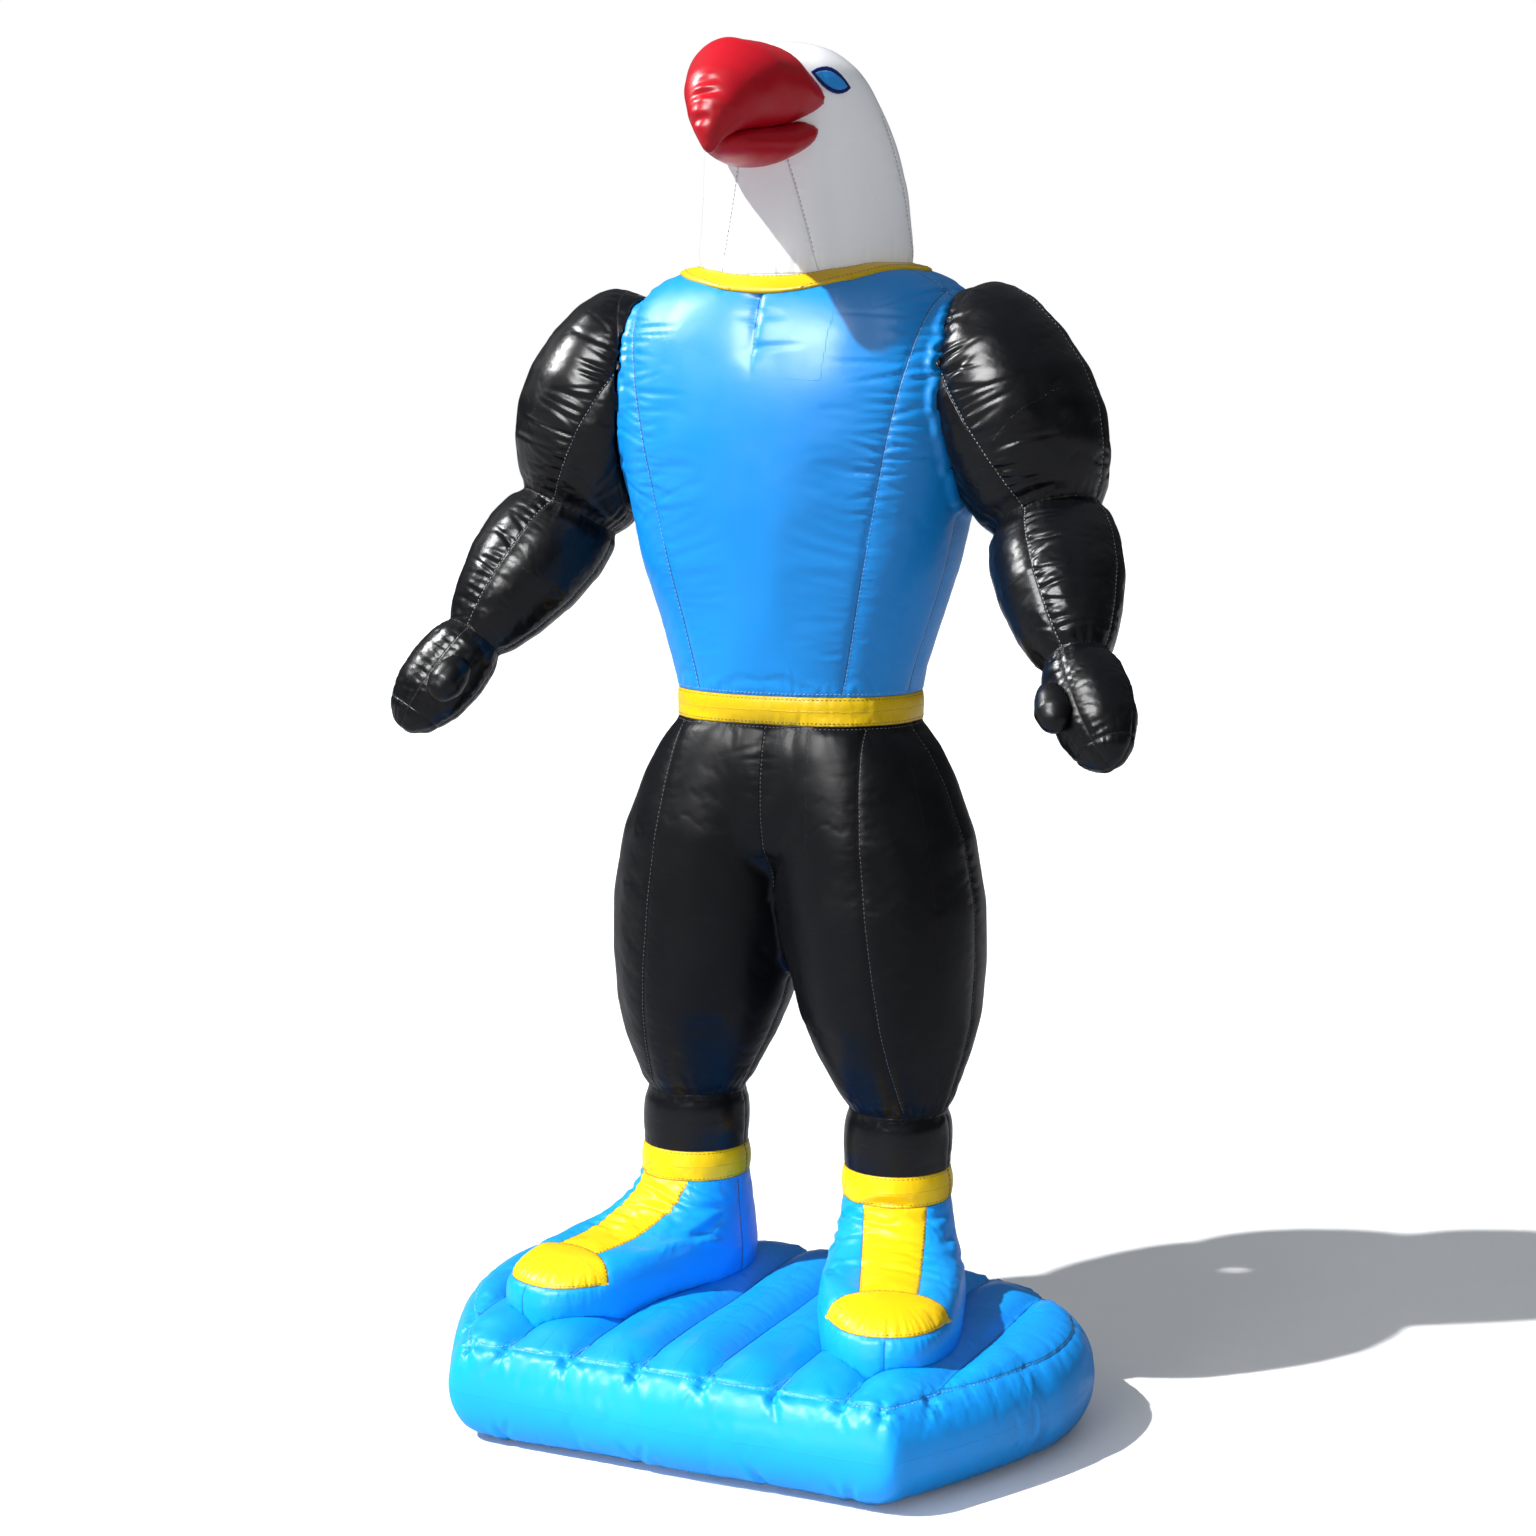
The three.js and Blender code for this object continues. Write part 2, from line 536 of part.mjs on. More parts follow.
const { eye, rim } = makeEye();
const { trouser, shin, cuff } = makeLeg();
const { boot, toeCap, tongue } = makeBoot();
const { upperArm, forearm, hand, thumb } = makeArm();
for (const side of ["left", "right"]) {
  const half = new THREE.Group();
  half.scale.x = side === "left" ? 1 : -1;
  half.add(
    meshOf(`eye_${side}`, eye, BLUE),
    meshOf(`eye_rim_${side}`, rim, NAVY),
    meshOf(`trouser_leg_${side}`, trouser, BLACK),
    meshOf(`shin_${side}`, shin, BLACK),
    meshOf(`boot_cuff_${side}`, cuff, YELLOW),
    meshOf(`boot_${side}`, boot, BLUE),
    meshOf(`boot_toe_cap_${side}`, toeCap, YELLOW),
    meshOf(`boot_tongue_${side}`, tongue, YELLOW),
    meshOf(`upper_arm_${side}`, upperArm, BLACK),
    meshOf(`forearm_${side}`, forearm, BLACK),
    meshOf(`hand_${side}`, hand, BLACK),
    meshOf(`thumb_${side}`, thumb, BLACK),
  );
  figure.add(half);
}

const part = new THREE.Group();
part.add(figure);

export default part;
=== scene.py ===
"""Looks of an inflatable eagle figure on its plinth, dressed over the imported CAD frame.

Each chamber starts from its CAD solid, which is remeshed and faired into a taut skin. The skin is
drawn in along its seams, gathered, stitched and cut into its coloured panels.
Lengths are metres, +Z is up, the figure looks towards -Y and its left side is at +X.
"""

import json
import logging
import math
from dataclasses import dataclass, replace
from enum import Enum
from functools import lru_cache
from typing import Dict, List, Optional, Sequence, Tuple

import bmesh
import bpy
import numpy as np
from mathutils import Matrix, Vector
from mathutils.bvhtree import BVHTree
from mathutils.kdtree import KDTree

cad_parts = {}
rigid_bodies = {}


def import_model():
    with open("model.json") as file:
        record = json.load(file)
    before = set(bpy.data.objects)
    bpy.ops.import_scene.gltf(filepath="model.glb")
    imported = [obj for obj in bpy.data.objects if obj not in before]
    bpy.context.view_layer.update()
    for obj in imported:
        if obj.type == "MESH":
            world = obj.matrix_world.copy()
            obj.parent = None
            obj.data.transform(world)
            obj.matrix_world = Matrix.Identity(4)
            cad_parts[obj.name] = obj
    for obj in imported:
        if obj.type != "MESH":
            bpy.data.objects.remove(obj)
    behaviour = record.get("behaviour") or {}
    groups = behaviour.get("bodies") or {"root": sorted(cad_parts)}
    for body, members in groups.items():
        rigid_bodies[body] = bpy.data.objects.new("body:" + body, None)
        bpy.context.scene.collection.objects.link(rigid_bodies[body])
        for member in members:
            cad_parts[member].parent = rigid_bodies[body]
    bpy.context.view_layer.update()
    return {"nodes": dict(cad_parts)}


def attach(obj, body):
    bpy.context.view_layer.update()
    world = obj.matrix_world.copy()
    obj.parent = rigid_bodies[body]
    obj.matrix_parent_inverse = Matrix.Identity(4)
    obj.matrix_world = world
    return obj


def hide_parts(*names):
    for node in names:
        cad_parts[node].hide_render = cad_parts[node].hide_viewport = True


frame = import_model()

LOG = logging.getLogger("eagle_figure")
Array = np.ndarray
Object = bpy.types.Object
NodeTree = bpy.types.NodeTree
Socket = bpy.types.NodeSocket
Vec = Tuple[float, float, float]
Plane = Tuple[Vec, Vec]
Outline = Tuple[Tuple[float, float], ...]

MIDDLE: Vec = (0.0, 0.0, 0.0)
LEFT: Vec = (1.0, 0.0, 0.0)
BACK: Vec = (0.0, 1.0, 0.0)
AHEAD: Vec = (0.0, -1.0, 0.0)
UP: Vec = (0.0, 0.0, 1.0)
DOWN: Vec = (0.0, 0.0, -1.0)
WELD = 0.0003  # grown on each solid so that pieces that are sewn together fuse
MERGE = 1e-6  # loose corners of a solid that lie nearer than this are one point
SHARP = 1e-4  # the soft edge of a half space that ends sharply
OTHER_SIDE = 500  # added to a seed for the draws on the figure's right
CUT_ANGLE = math.radians(62)  # edges that turn more than this, where a skin was cut, stay sharp
FOOT_SPLAY = math.radians(19)
LEG_AXIS = (0.200, 0.153)  # where the left leg stands


class Side(Enum):
    """The figure's own left and right."""

    LEFT = 1
    RIGHT = -1

    @property
    def tag(self) -> str:
        """The ending of this side's piece names."""
        return self.name.lower()


class Lie(Enum):
    """How a length of seam runs over its bag."""

    LENGTHWISE = "seam_run"
    ROUND = "ring_run"


def unit(vector: Sequence[float]) -> Array:
    """The vector at length one."""
    array = np.asarray(vector, float)
    return array / np.linalg.norm(array)


def units(rows: Array) -> Array:
    """Every row of vectors at length one."""
    return rows / np.maximum(np.linalg.norm(rows, axis=-1, keepdims=True), 1e-12)


def run_of(path: Array) -> Array:
    """How far along a line each of its points lies."""
    return np.concatenate([[0.0], np.cumsum(np.linalg.norm(np.diff(path, axis=0), axis=1))])


def rows_at(marks: Array, run: Array, rows: Array) -> Array:
    """The rows of values that lie along a run, read at given marks on it."""
    return np.stack([np.interp(marks, run, rows[:, i]) for i in range(3)], axis=1)


def smooth(low: float, high: float, values: Array) -> Array:
    """An eased step from nought at low to one at high."""
    share = np.clip((values - low) / (high - low), 0.0, 1.0)
    return share * share * (3.0 - 2.0 * share)


# Skins


def deselect() -> None:
    """Clears the selection, which every operator acts on."""
    for obj in bpy.context.view_layer.objects:
        obj.select_set(False)


def activate(obj: Object) -> None:
    """Selects one object alone and makes it the active one.

    Args:
        obj: The object.
    """
    deselect()
    obj.select_set(True)
    bpy.context.view_layer.objects.active = obj


def apply_modifier(obj: Object, kind: str, **settings: object) -> None:
    """Adds a modifier with its settings and applies it.

    Args:
        obj: The object to change.
        kind: The modifier's type.
        settings: Values of the modifier's properties.
    """
    modifier = obj.modifiers.new(kind.lower(), kind)
    for name, value in settings.items():
        setattr(modifier, name, value)
    activate(obj)
    bpy.ops.object.modifier_apply(modifier=modifier.name)


def new_object(name: str, data: bpy.types.ID) -> Object:
    """Puts a mesh, a light or a camera into the scene as an object at the origin.

    Args:
        name: The object's name.
        data: What it holds.

    Returns:
        The new object.
    """
    obj = bpy.data.objects.new(name, data)
    bpy.context.scene.collection.objects.link(obj)
    return obj


def points_of(mesh: bpy.types.Mesh) -> Array:
    """Reads a mesh's points.

    Args:
        mesh: The mesh.

    Returns:
        Its points, one to a row.
    """
    points = np.zeros(len(mesh.vertices) * 3)
    mesh.vertices.foreach_get("co", points)
    return points.reshape(-1, 3)


def mesh_of(shape: bmesh.types.BMesh, name: str) -> bpy.types.Mesh:
    """Turns a shape into a mesh and frees the shape.

    Args:
        shape: The shape.
        name: The mesh's name.

    Returns:
        The mesh.
    """
    mesh = bpy.data.meshes.new(name)
    shape.to_mesh(mesh)
    shape.free()
    return mesh


def cad_shape(node: str) -> bmesh.types.BMesh:
    """Copies a CAD solid and merges its loose corners.

    Args:
        node: The solid's name.

    Returns:
        The copy.
    """
    shape = bmesh.new()
    shape.from_mesh(frame["nodes"][node].data)
    bmesh.ops.remove_doubles(shape, verts=shape.verts[:], dist=MERGE)
    return shape


def cut_flat(shape: bmesh.types.BMesh, planes: Sequence[Plane]) -> None:
    """Takes off what lies in front of every plane and closes the shape flat at the cuts.

    Args:
        shape: The shape to cut.
        planes: A point and an outward direction for each cut.
    """
    for at, outward in planes:
        geometry = shape.verts[:] + shape.edges[:] + shape.faces[:]
        bmesh.ops.bisect_plane(shape, geom=geometry, plane_co=at, plane_no=outward, clear_outer=True)
    bmesh.ops.edgeloop_fill(shape, edges=[edge for edge in shape.edges if edge.is_boundary])


@dataclass
class Skin:
    """A bag's skin as plain arrays: its points, and the four corners of every face."""

    points: Array
    faces: Array

    @classmethod
    def taken_from(cls, obj: Object) -> "Skin":
        """Reads an object whose faces all have four corners, and removes the object.

        Args:
            obj: The object to read.

        Returns:
            Its skin.
        """
        mesh = obj.data
        points = points_of(mesh)
        corners = np.zeros(len(mesh.loops), np.int64)
        mesh.loops.foreach_get("vertex_index", corners)
        bpy.data.objects.remove(obj)
        bpy.data.meshes.remove(mesh)
        return cls(points, corners.reshape(-1, 4))

    def to_object(self, name: str) -> Object:
        """Makes an object of the skin.

        Args:
            name: The object's name.

        Returns:
            The new object.
        """
        mesh = bpy.data.meshes.new(name)
        count = len(self.faces)
        mesh.vertices.add(len(self.points))
        mesh.vertices.foreach_set("co", self.points.ravel())
        mesh.loops.add(count * 4)
        mesh.loops.foreach_set("vertex_index", self.faces.ravel())
        mesh.polygons.add(count)
        mesh.polygons.foreach_set("loop_start", np.arange(0, count * 4, 4))
        mesh.update(calc_edges=True)
        return new_object(name, mesh)

    def mirrored(self) -> "Skin":
        """The same skin on the figure's other side."""
        return Skin(self.points * (-1.0, 1.0, 1.0), self.faces[:, ::-1].copy())

    def sides(self) -> Tuple[Array, Array]:
        """Lists the skin's edges.

        Returns:
            The pairs of points that share an edge, and the numbers of every face's four edges.
        """
        pairs = np.sort(np.stack([self.faces, np.roll(self.faces, -1, axis=1)], axis=2), axis=2)
        count = len(self.points)
        keys, which = np.unique((pairs[..., 0] * count + pairs[..., 1]).ravel(), return_inverse=True)
        return np.stack(np.divmod(keys, count), axis=1), which.reshape(-1, 4)

    def normals(self) -> Array:
        """Works out which way the skin faces.

        Returns:
            The outward direction at every point.
        """
        a, b, c, d = (self.points[self.faces[:, i]] for i in range(4))
        facing = np.cross(c - a, d - b)
        total = np.zeros_like(self.points)
        for corner in range(4):
            for axis in range(3):
                total[:, axis] += np.bincount(self.faces[:, corner], facing[:, axis], len(total))
        return units(total)

    def part(self, keep: Array) -> "Skin":
        """The faces that are kept, with their points.

        Args:
            keep: A mask over the faces.

        Returns:
            The smaller skin, open where it was cut.
        """
        faces = self.faces[keep]
        used, renumbered = np.unique(faces, return_inverse=True)
        return Skin(self.points[used], renumbered.reshape(-1, 4))

    def main_shell(self) -> "Skin":
        """Drops the bubbles that remeshing left inside.

        Returns:
            The largest connected shell.
        """
        labels = np.arange(len(self.points))
        edges = self.sides()[0]
        while True:
            before = labels.copy()
            np.minimum.at(labels, edges[:, 0], labels[edges[:, 1]])
            np.minimum.at(labels, edges[:, 1], labels[edges[:, 0]])
            labels = labels[labels]
            if np.array_equal(before, labels):
                break
        names, counts = np.unique(labels, return_counts=True)
        return self.part(labels[self.faces[:, 0]] == names[np.argmax(counts)])

    def faired(self, spread: float, cell: float) -> "Skin":
        """Smooths away the solid's facets and keeps its main form and its fullness.

        Args:
            spread: How wide the smoothing reaches.
            cell: The size of the skin's faces.

        Returns:
            The smooth skin.
        """
        edges = self.sides()[0]
        ends = np.concatenate([edges[:, 0], edges[:, 1]])
        others = np.concatenate([edges[:, 1], edges[:, 0]])
        degree = np.bincount(ends, minlength=len(self.points))[:, None]
        rounds = int((2.0 * spread / cell) ** 2)

        def blurred(values: Array) -> Array:
            """Averages values over their neighbours, round after round.

            Args:
                values: A value at every point.

            Returns:
                The eased values.
            """
            for _ in range(rounds):
                sums = [np.bincount(ends, values[others, axis], len(values)) for axis in range(3)]
                values = 0.5 * values + 0.5 * np.stack(sums, axis=1) / degree
            return values

        eased = blurred(self.points)
        return Skin(eased + blurred(self.points - eased), self.faces)

    def refined(self) -> "Skin":
        """Splits every face in four by one round of subdivision.

        Returns:
            The finer skin.
        """
        edges, which = self.sides()
        count, faces = len(self.points), self.faces

        def gathered(owners: Array, values: Array, total: int) -> Array:
            """The sum of the values that each owner holds."""
            return np.stack([np.bincount(owners, values[:, axis], total) for axis in range(3)], axis=1)

        middles = self.points[faces].mean(axis=1)
        halfway = self.points[edges].mean(axis=1)
        on_edges = (2 * halfway + gathered(which.ravel(), np.repeat(middles, 4, axis=0), len(edges))) / 4
        degree = np.bincount(faces.ravel(), minlength=count)[:, None]
        around = gathered(faces.ravel(), np.repeat(middles, 4, axis=0), count)
        beside = gathered(edges.ravel(), np.repeat(halfway, 2, axis=0), count)
        on_points = ((around + 2 * beside) / degree + (degree - 3) * self.points) / degree
        edge, middle = which + count, np.arange(len(faces)) + count + len(edges)
        quarters = [np.stack([faces[:, i], edge[:, i], middle, edge[:, i - 1]], axis=1) for i in range(4)]
        return Skin(np.concatenate([on_points, on_edges, middles]), np.concatenate(quarters))

    def dressed(self, reliefs: Sequence["Relief"]) -> "Skin":
        """The skin moved in and out by all its seams, gathers and creases.

        Args:
            reliefs: What shapes the skin.

        Returns:
            The shaped skin.
        """
        normals = self.normals()
        height = np.zeros(len(self.points))
        for relief in reliefs:
            height += relief.heights(self)
        return Skin(self.points + normals * height[:, None], self.faces)

    def tree(self) -> BVHTree:
        """A search tree over the skin's faces."""
        return BVHTree.FromPolygons(self.points.tolist(), self.faces.tolist())

    def seated(self, tree: BVHTree, below_z: float, gap: float = 0.0006) -> "Skin":
        """The skin with its underside brought down on what carries it.

        Args:
            tree: The carrier's skin.
            below_z: The height under which points belong to the underside.
            gap: The clearance that stays.

        Returns:
            The seated skin.
        """
        points = self.points.copy()
        facing = self.normals()[:, 2]
        for index in np.flatnonzero(points[:, 2] < below_z):
            x, y, z = points[index]
            hit = tree.ray_cast(Vector((x, y, below_z + 0.1)), Vector(DOWN))[0]
            if hit is None:
                continue
            under_side = float(np.clip((-facing[index] - 0.15) / 0.35, 0.0, 1.0))
            drop = (z - hit.z - gap) * under_side
            if drop < 0.03:
                points[index, 2] = max(z - drop, hit.z + gap)
        return Skin(points, self.faces)


def blank_of(nodes: Sequence[str], cell: float, spread: float,
             trims: Optional[Dict[str, Plane]] = None) -> Skin:
    """Copies CAD solids into one fused blank, remeshes it and fairs it.

    Args:
        nodes: The CAD solids to fuse.
        cell: The remesh's cell.
        spread: How wide the fairing reaches.
        trims: For solids that only carry the form on, the plane that cuts them short.

    Returns:
        The blank's skin.
    """
    build = bmesh.new()
    for node in nodes:
        part = cad_shape(node)
        part.normal_update()
        for vertex in part.verts:
            vertex.co += vertex.normal * WELD
        if trims and node in trims:
            cut_flat(part, [trims[node]])
        mesh = mesh_of(part, "blank_part")
        build.from_mesh(mesh)
        bpy.data.meshes.remove(mesh)
    obj = new_object("blank", mesh_of(build, "blank"))
    apply_modifier(obj, "REMESH", mode="VOXEL", voxel_size=cell, adaptivity=0.0)
    return Skin.taken_from(obj).main_shell().faired(spread, cell)


def slab(skin: Skin, name: str, planes: Sequence[Plane], cell: float) -> Object:
    """Cuts out the part of a skin that lies behind every plane, closed flat at each cut.

    Args:
        skin: The skin to cut.
        name: The piece's name.
        planes: A point and an outward direction for each cut.
        cell: The size of the skin's faces.

    Returns:
        The piece.
    """
    keep = np.ones(len(skin.faces), bool)
    for at, outward in planes:
        beyond = (skin.points - np.array(at)) @ unit(outward)
        keep &= beyond[skin.faces].min(axis=1) < 3 * cell
    obj = skin.part(keep).to_object(name)
    cut = bmesh.new()
    cut.from_mesh(obj.data)
    cut_flat(cut, planes)
    cut.to_mesh(obj.data)
    cut.free()
    return obj


def combine(obj: Object, tool: Object, operation: str, name: str) -> Object:
    """A copy of an object cut by another.

    Args:
        obj: The object to copy.
        tool: The cutting solid.
        operation: INTERSECT or DIFFERENCE.
        name: The copy's name.

    Returns:
        The new piece.
    """
    piece = new_object(name, obj.data.copy())
    apply_modifier(piece, "BOOLEAN", operation=operation, object=tool, solver="EXACT")
    return piece


# Reliefs: what draws a skin in and puckers it


class Relief:
    """Something that moves a skin in or out."""

    def heights(self, skin: Skin) -> Array:
        """Finds how far each point moves outwards.

        Args:
            skin: The skin.

        Returns:
            One height for each point.
        """
        raise NotImplementedError

    def mirrored(self) -> "Relief":
        """The relief on the figure's other side, with draws of its own."""
        return replace(self, seed=self.seed + OTHER_SIDE)


@dataclass(frozen=True)
class Gather:
    """How cloth is drawn up along a seam.

    draw and ease are the depth and half width of the crease, depth, pitch and reach those of the
    puckers, and sides how strong they are where the seam's normal points to and on the other side.
    """

    draw: float = 0.0030
    ease: Tuple[float, float] = (0.0070, 0.0070)
    depth: float = 0.0016
    pitch: float = 0.017
    reach: float = 0.045
    width: float = 0.0052
    sides: Tuple[float, float] = (1.0, 1.0)


@dataclass(frozen=True)
class Span:
    """A half space that a seam keeps to, with a soft edge."""

    at: Vec
    inward: Vec
    fade: float = 0.03

    def share(self, points: Array) -> Array:
        """How far each point is inside, from nought to one."""
        inside = (points - np.array(self.at)) @ unit(self.inward)
        return smooth(-self.fade / 2, self.fade / 2, inside)

    def mirrored(self) -> "Span":
        """The half space on the figure's other side."""
        return Span(flip(self.at), flip(self.inward), self.fade)


def flip(vector: Vec) -> Vec:
    """The vector on the figure's other side."""
    return (-vector[0], vector[1], vector[2])


@dataclass(frozen=True)
class Seam(Relief):
    """A sewn line where a surface cuts the skin.

    at and normal place the surface, along is the direction that the seam runs in, and rows are the
    distances of its rows of stitches from the line. At its tucks the cloth is pinched into a few
    deeper folds, whose depth and reach tuck holds.
    """

    at: Vec
    normal: Vec
    along: Vec
    gather: Gather
    seed: int
    spans: Tuple[Span, ...] = ()
    rows: Tuple[float, ...] = (0.0018,)
    lie: Lie = Lie.LENGTHWISE
    tucks: Tuple[Vec, ...] = ()
    tuck: Tuple[float, float] = (0.006, 0.070)

    def measure(self, points: Array) -> Tuple[Array, Array]:
        """Finds where points lie beside the seam.

        Args:
            points: The points to measure.

        Returns:
            How far along the seam each point lies, and its signed distance from it.
        """
        rest = points - np.array(self.at)
        return rest @ unit(self.along), rest @ unit(self.normal)

    def length(self) -> Optional[float]:
        """The length after which the run starts again, where the seam goes round."""
        return None

    def hold(self, points: Array) -> Array:
        """Finds how much of the seam there is.

        Args:
            points: The points to ask about.

        Returns:
            Its share at each point, from nought to one.
        """
        share = np.ones(len(points))
        for span in self.spans:
            share *= span.share(points)
        return share

    def heights(self, skin: Skin) -> Array:
        """Finds how far the crease and its puckers move each point outwards.

        Args:
            skin: The skin.

        Returns:
            One height for each point.
        """
        points = skin.points
        gather = self.gather
        run, off = self.measure(points)
        hold = self.hold(points)
        height = np.zeros(len(points))
        far = max(2.2 * gather.reach, 8 * max(gather.ease))
        near = np.flatnonzero((np.abs(off) < far) & (hold > 0.004))
        if len(near) == 0:
            return height
        run, off, hold = run[near], off[near], hold[near]
        away = np.abs(off)
        local = -gather.draw * np.exp(-away / np.where(off > 0, *gather.ease))
        length = self.length()
        start, stop = (0.0, length) if length else (run.min(), run.max())
        for sign, place, depth, reach, lean, width in self.folds(start, stop):
            beside = run - place - lean * away
            if length:
                beside = (beside + length / 2) % length - length / 2
            pick = np.flatnonzero((off * sign > 0) & (away < reach) & (np.abs(beside) < 6 * width))
            share = away[pick] / reach
            envelope = (1 - share**2) ** 2 * (0.3 + 0.7 * smooth(0.0, 0.009, away[pick]))
            across = beside[pick] / (width * (1.1 - 0.4 * share))
            profile = -np.exp(-(across**2)) + 0.42 * np.exp(-((across / 2.3) ** 2))
            local[pick] += depth * envelope * profile
        height[near] = local * hold
        return height

    def folds(self, start: float, stop: float) -> List[Tuple[float, ...]]:
        """The puckers beside the seam, each with its side, place, depth, reach, lean and width.

        Args:
            start: Where the seam's run starts.
            stop: Where it ends.

        Returns:
            The puckers, in a fixed random order.
        """
        gather = self.gather
        random = np.random.default_rng(self.seed)
        folds = []
        for sign, strength in zip((1, -1), gather.sides):
            place = start
            while place < stop:
                place += gather.pitch * random.uniform(0.7, 1.35)
                depth = strength * gather.depth * random.uniform(0.5, 1.4)
                reach = gather.reach * random.uniform(0.65, 1.15) * (1.8 if random.random() < 0.14 else 1.0)
                lean, width = random.normal(0.0, 0.16), gather.width * random.uniform(0.8, 1.3)
                folds.append((sign, place, depth, reach, lean, width))
            for tuck in self.measure(np.array(self.tucks).reshape(-1, 3))[0]:
                for lean in (-0.5, 0.05, 0.45):
                    deep, far = (value * random.uniform(0.5, 1.15) for value in self.tuck)
                    spot = tuck + random.normal(0.0, 0.005)
                    folds.append((sign, spot, deep * strength, far, lean, gather.width))
        return [fold for fold in folds if fold[2] > 0]

    def mirrored(self) -> "Seam":
        """Carries the seam over to the figure's other side.

        Returns:
            The matching seam, with puckers of its own.
        """
        spans = tuple(span.mirrored() for span in self.spans)
        other = {"at": flip(self.at), "normal": flip(self.normal), "along": flip(self.along)}
        return replace(super().mirrored(), spans=spans, **other)


@dataclass(frozen=True)
class RingSeam(Seam):
    """A seam that goes round a bag in a plane; along points to where its run starts."""

    radius: float = 0.1
    lie: Lie = Lie.ROUND

    def measure(self, points: Array) -> Tuple[Array, Array]:
        """Finds where points lie beside the seam.

        Args:
            points: The points to measure.

        Returns:
            How far round the ring each point lies, and its signed distance from the ring's plane.
        """
        axis = unit(self.normal)
        first = unit(np.array(self.along) - axis * (np.array(self.along) @ axis))
        rest = points - np.array(self.at)
        turn = np.arctan2(rest @ np.cross(axis, first), rest @ first) + math.pi
        return turn * self.radius, rest @ axis

    def length(self) -> Optional[float]:
        """The way round the ring."""
        return 2 * math.pi * self.radius


@dataclass(frozen=True)
class OvalSeam(Seam):
    """A seam where an upright oval tube cuts the skin; half holds the oval's half axes."""

    half: Tuple[float, float] = (0.1, 0.1)
    power: float = 2.0
    lie: Lie = Lie.ROUND

    def measure(self, points: Array) -> Tuple[Array, Array]:
        """Finds where points lie beside the seam.

        Args:
            points: The points to measure.

        Returns:
            How far round the oval each point lies, and its distance outside it.
        """
        x = (points[:, 0] - self.at[0]) / self.half[0]
        y = (points[:, 1] - self.at[1]) / self.half[1]
        mean = sum(self.half) / 2
        share = (np.abs(x) ** self.power + np.abs(y) ** self.power) ** (1 / self.power)
        return (np.arctan2(y, x) + math.pi) * mean, (share - 1) * mean

    def length(self) -> Optional[float]:
        """The way round the oval."""
        return math.pi * sum(self.half)


@dataclass(frozen=True)
class Pinch(Relief):
    """A point where sewn lines meet and draw the skin into a star of short folds."""

    at: Vec
    facing: Vec
    radius: float
    depth: float
    spokes: int = 5
    seed: int = 1

    def heights(self, skin: Skin) -> Array:
        """Finds how far the dimple and its star move each point outwards.

        Args:
            skin: The skin.

        Returns:
            One height for each point.
        """
        axis = unit(self.facing)
        first = unit(np.cross(axis, (0.31, 0.9, 0.3)))
        rest = skin.points - np.array(self.at)
        away = np.linalg.norm(rest, axis=1)
        turn = np.arctan2(rest @ np.cross(axis, first), rest @ first)
        phase = np.random.default_rng(self.seed).uniform(0, 2 * math.pi)
        share = away / self.radius
        star = np.cos(self.spokes * turn + phase) * share * np.exp(-share * 1.2)
        return self.depth * (-np.exp(-(share**2) * 2.0) + 0.8 * star) * (share < 6)


@dataclass(frozen=True)
class Creases(Relief):
    """A few long soft folds that lie across a bend in the skin.

    at, along and across place them: they are spread along the one direction and run in the other.
    """

    at: Vec
    along: Vec
    across: Vec
    spread: float
    count: int
    depth: float
    width: float
    reach: float
    seed: int

    def heights(self, skin: Skin) -> Array:
        """Finds how far the folds move each point outwards.

        Args:
            skin: The skin.

        Returns:
            One height for each point.
        """
        run, cross = unit(self.along), unit(self.across)
        facing = np.cross(run, cross)
        rest = skin.points - np.array(self.at)
        seen = smooth(0.1, 0.5, np.abs(skin.normals() @ facing)) * (rest @ facing > -0.12)
        random = np.random.default_rng(self.seed)
        height = np.zeros(len(rest))
        for _ in range(self.count):
            place = random.uniform(-0.5, 0.5) * self.spread
            middle = random.normal(0.0, 0.35) * self.reach
            reach = self.reach * random.uniform(0.5, 1.1)
            lean, bow = random.normal(0.0, 0.13), random.normal(0.0, 1.4)
            depth = self.depth * random.uniform(0.4, 1.3)
            aside = rest @ cross - middle
            beside = (rest @ run - place - lean * aside - bow * aside**2) / self.width
            envelope = np.clip(1 - (aside / reach) ** 2, 0, 1) ** 2
            profile = -np.exp(-(beside**2)) + 0.5 * np.exp(-((np.abs(beside) - 1.9) ** 2))
            height += depth * envelope * profile
        return height * seen

    def mirrored(self) -> "Creases":
        """The folds on the figure's other side."""
        across = tuple(-value for value in flip(self.across))
        return replace(super().mirrored(), at=flip(self.at), along=flip(self.along), across=across)


@dataclass(frozen=True)
class Unevenness(Relief):
    """The slight waves that a hand-sewn skin keeps under pressure."""

    depth: float
    length: float
    seed: int
    waves: int = 14

    def heights(self, skin: Skin) -> Array:
        """Finds how far the waves move each point outwards.

        Args:
            skin: The skin.

        Returns:
            One height for each point.
        """
        random = np.random.default_rng(self.seed)
        height = np.zeros(len(skin.points))
        for _ in range(self.waves):
            direction = unit(random.normal(size=3))
            length = self.length * random.uniform(0.6, 1.8)
            phase = random.uniform(0, 6.28)
            height += np.sin(skin.points @ direction * (2 * math.pi / length) + phase)
        return height * (self.depth / math.sqrt(self.waves))


# Air


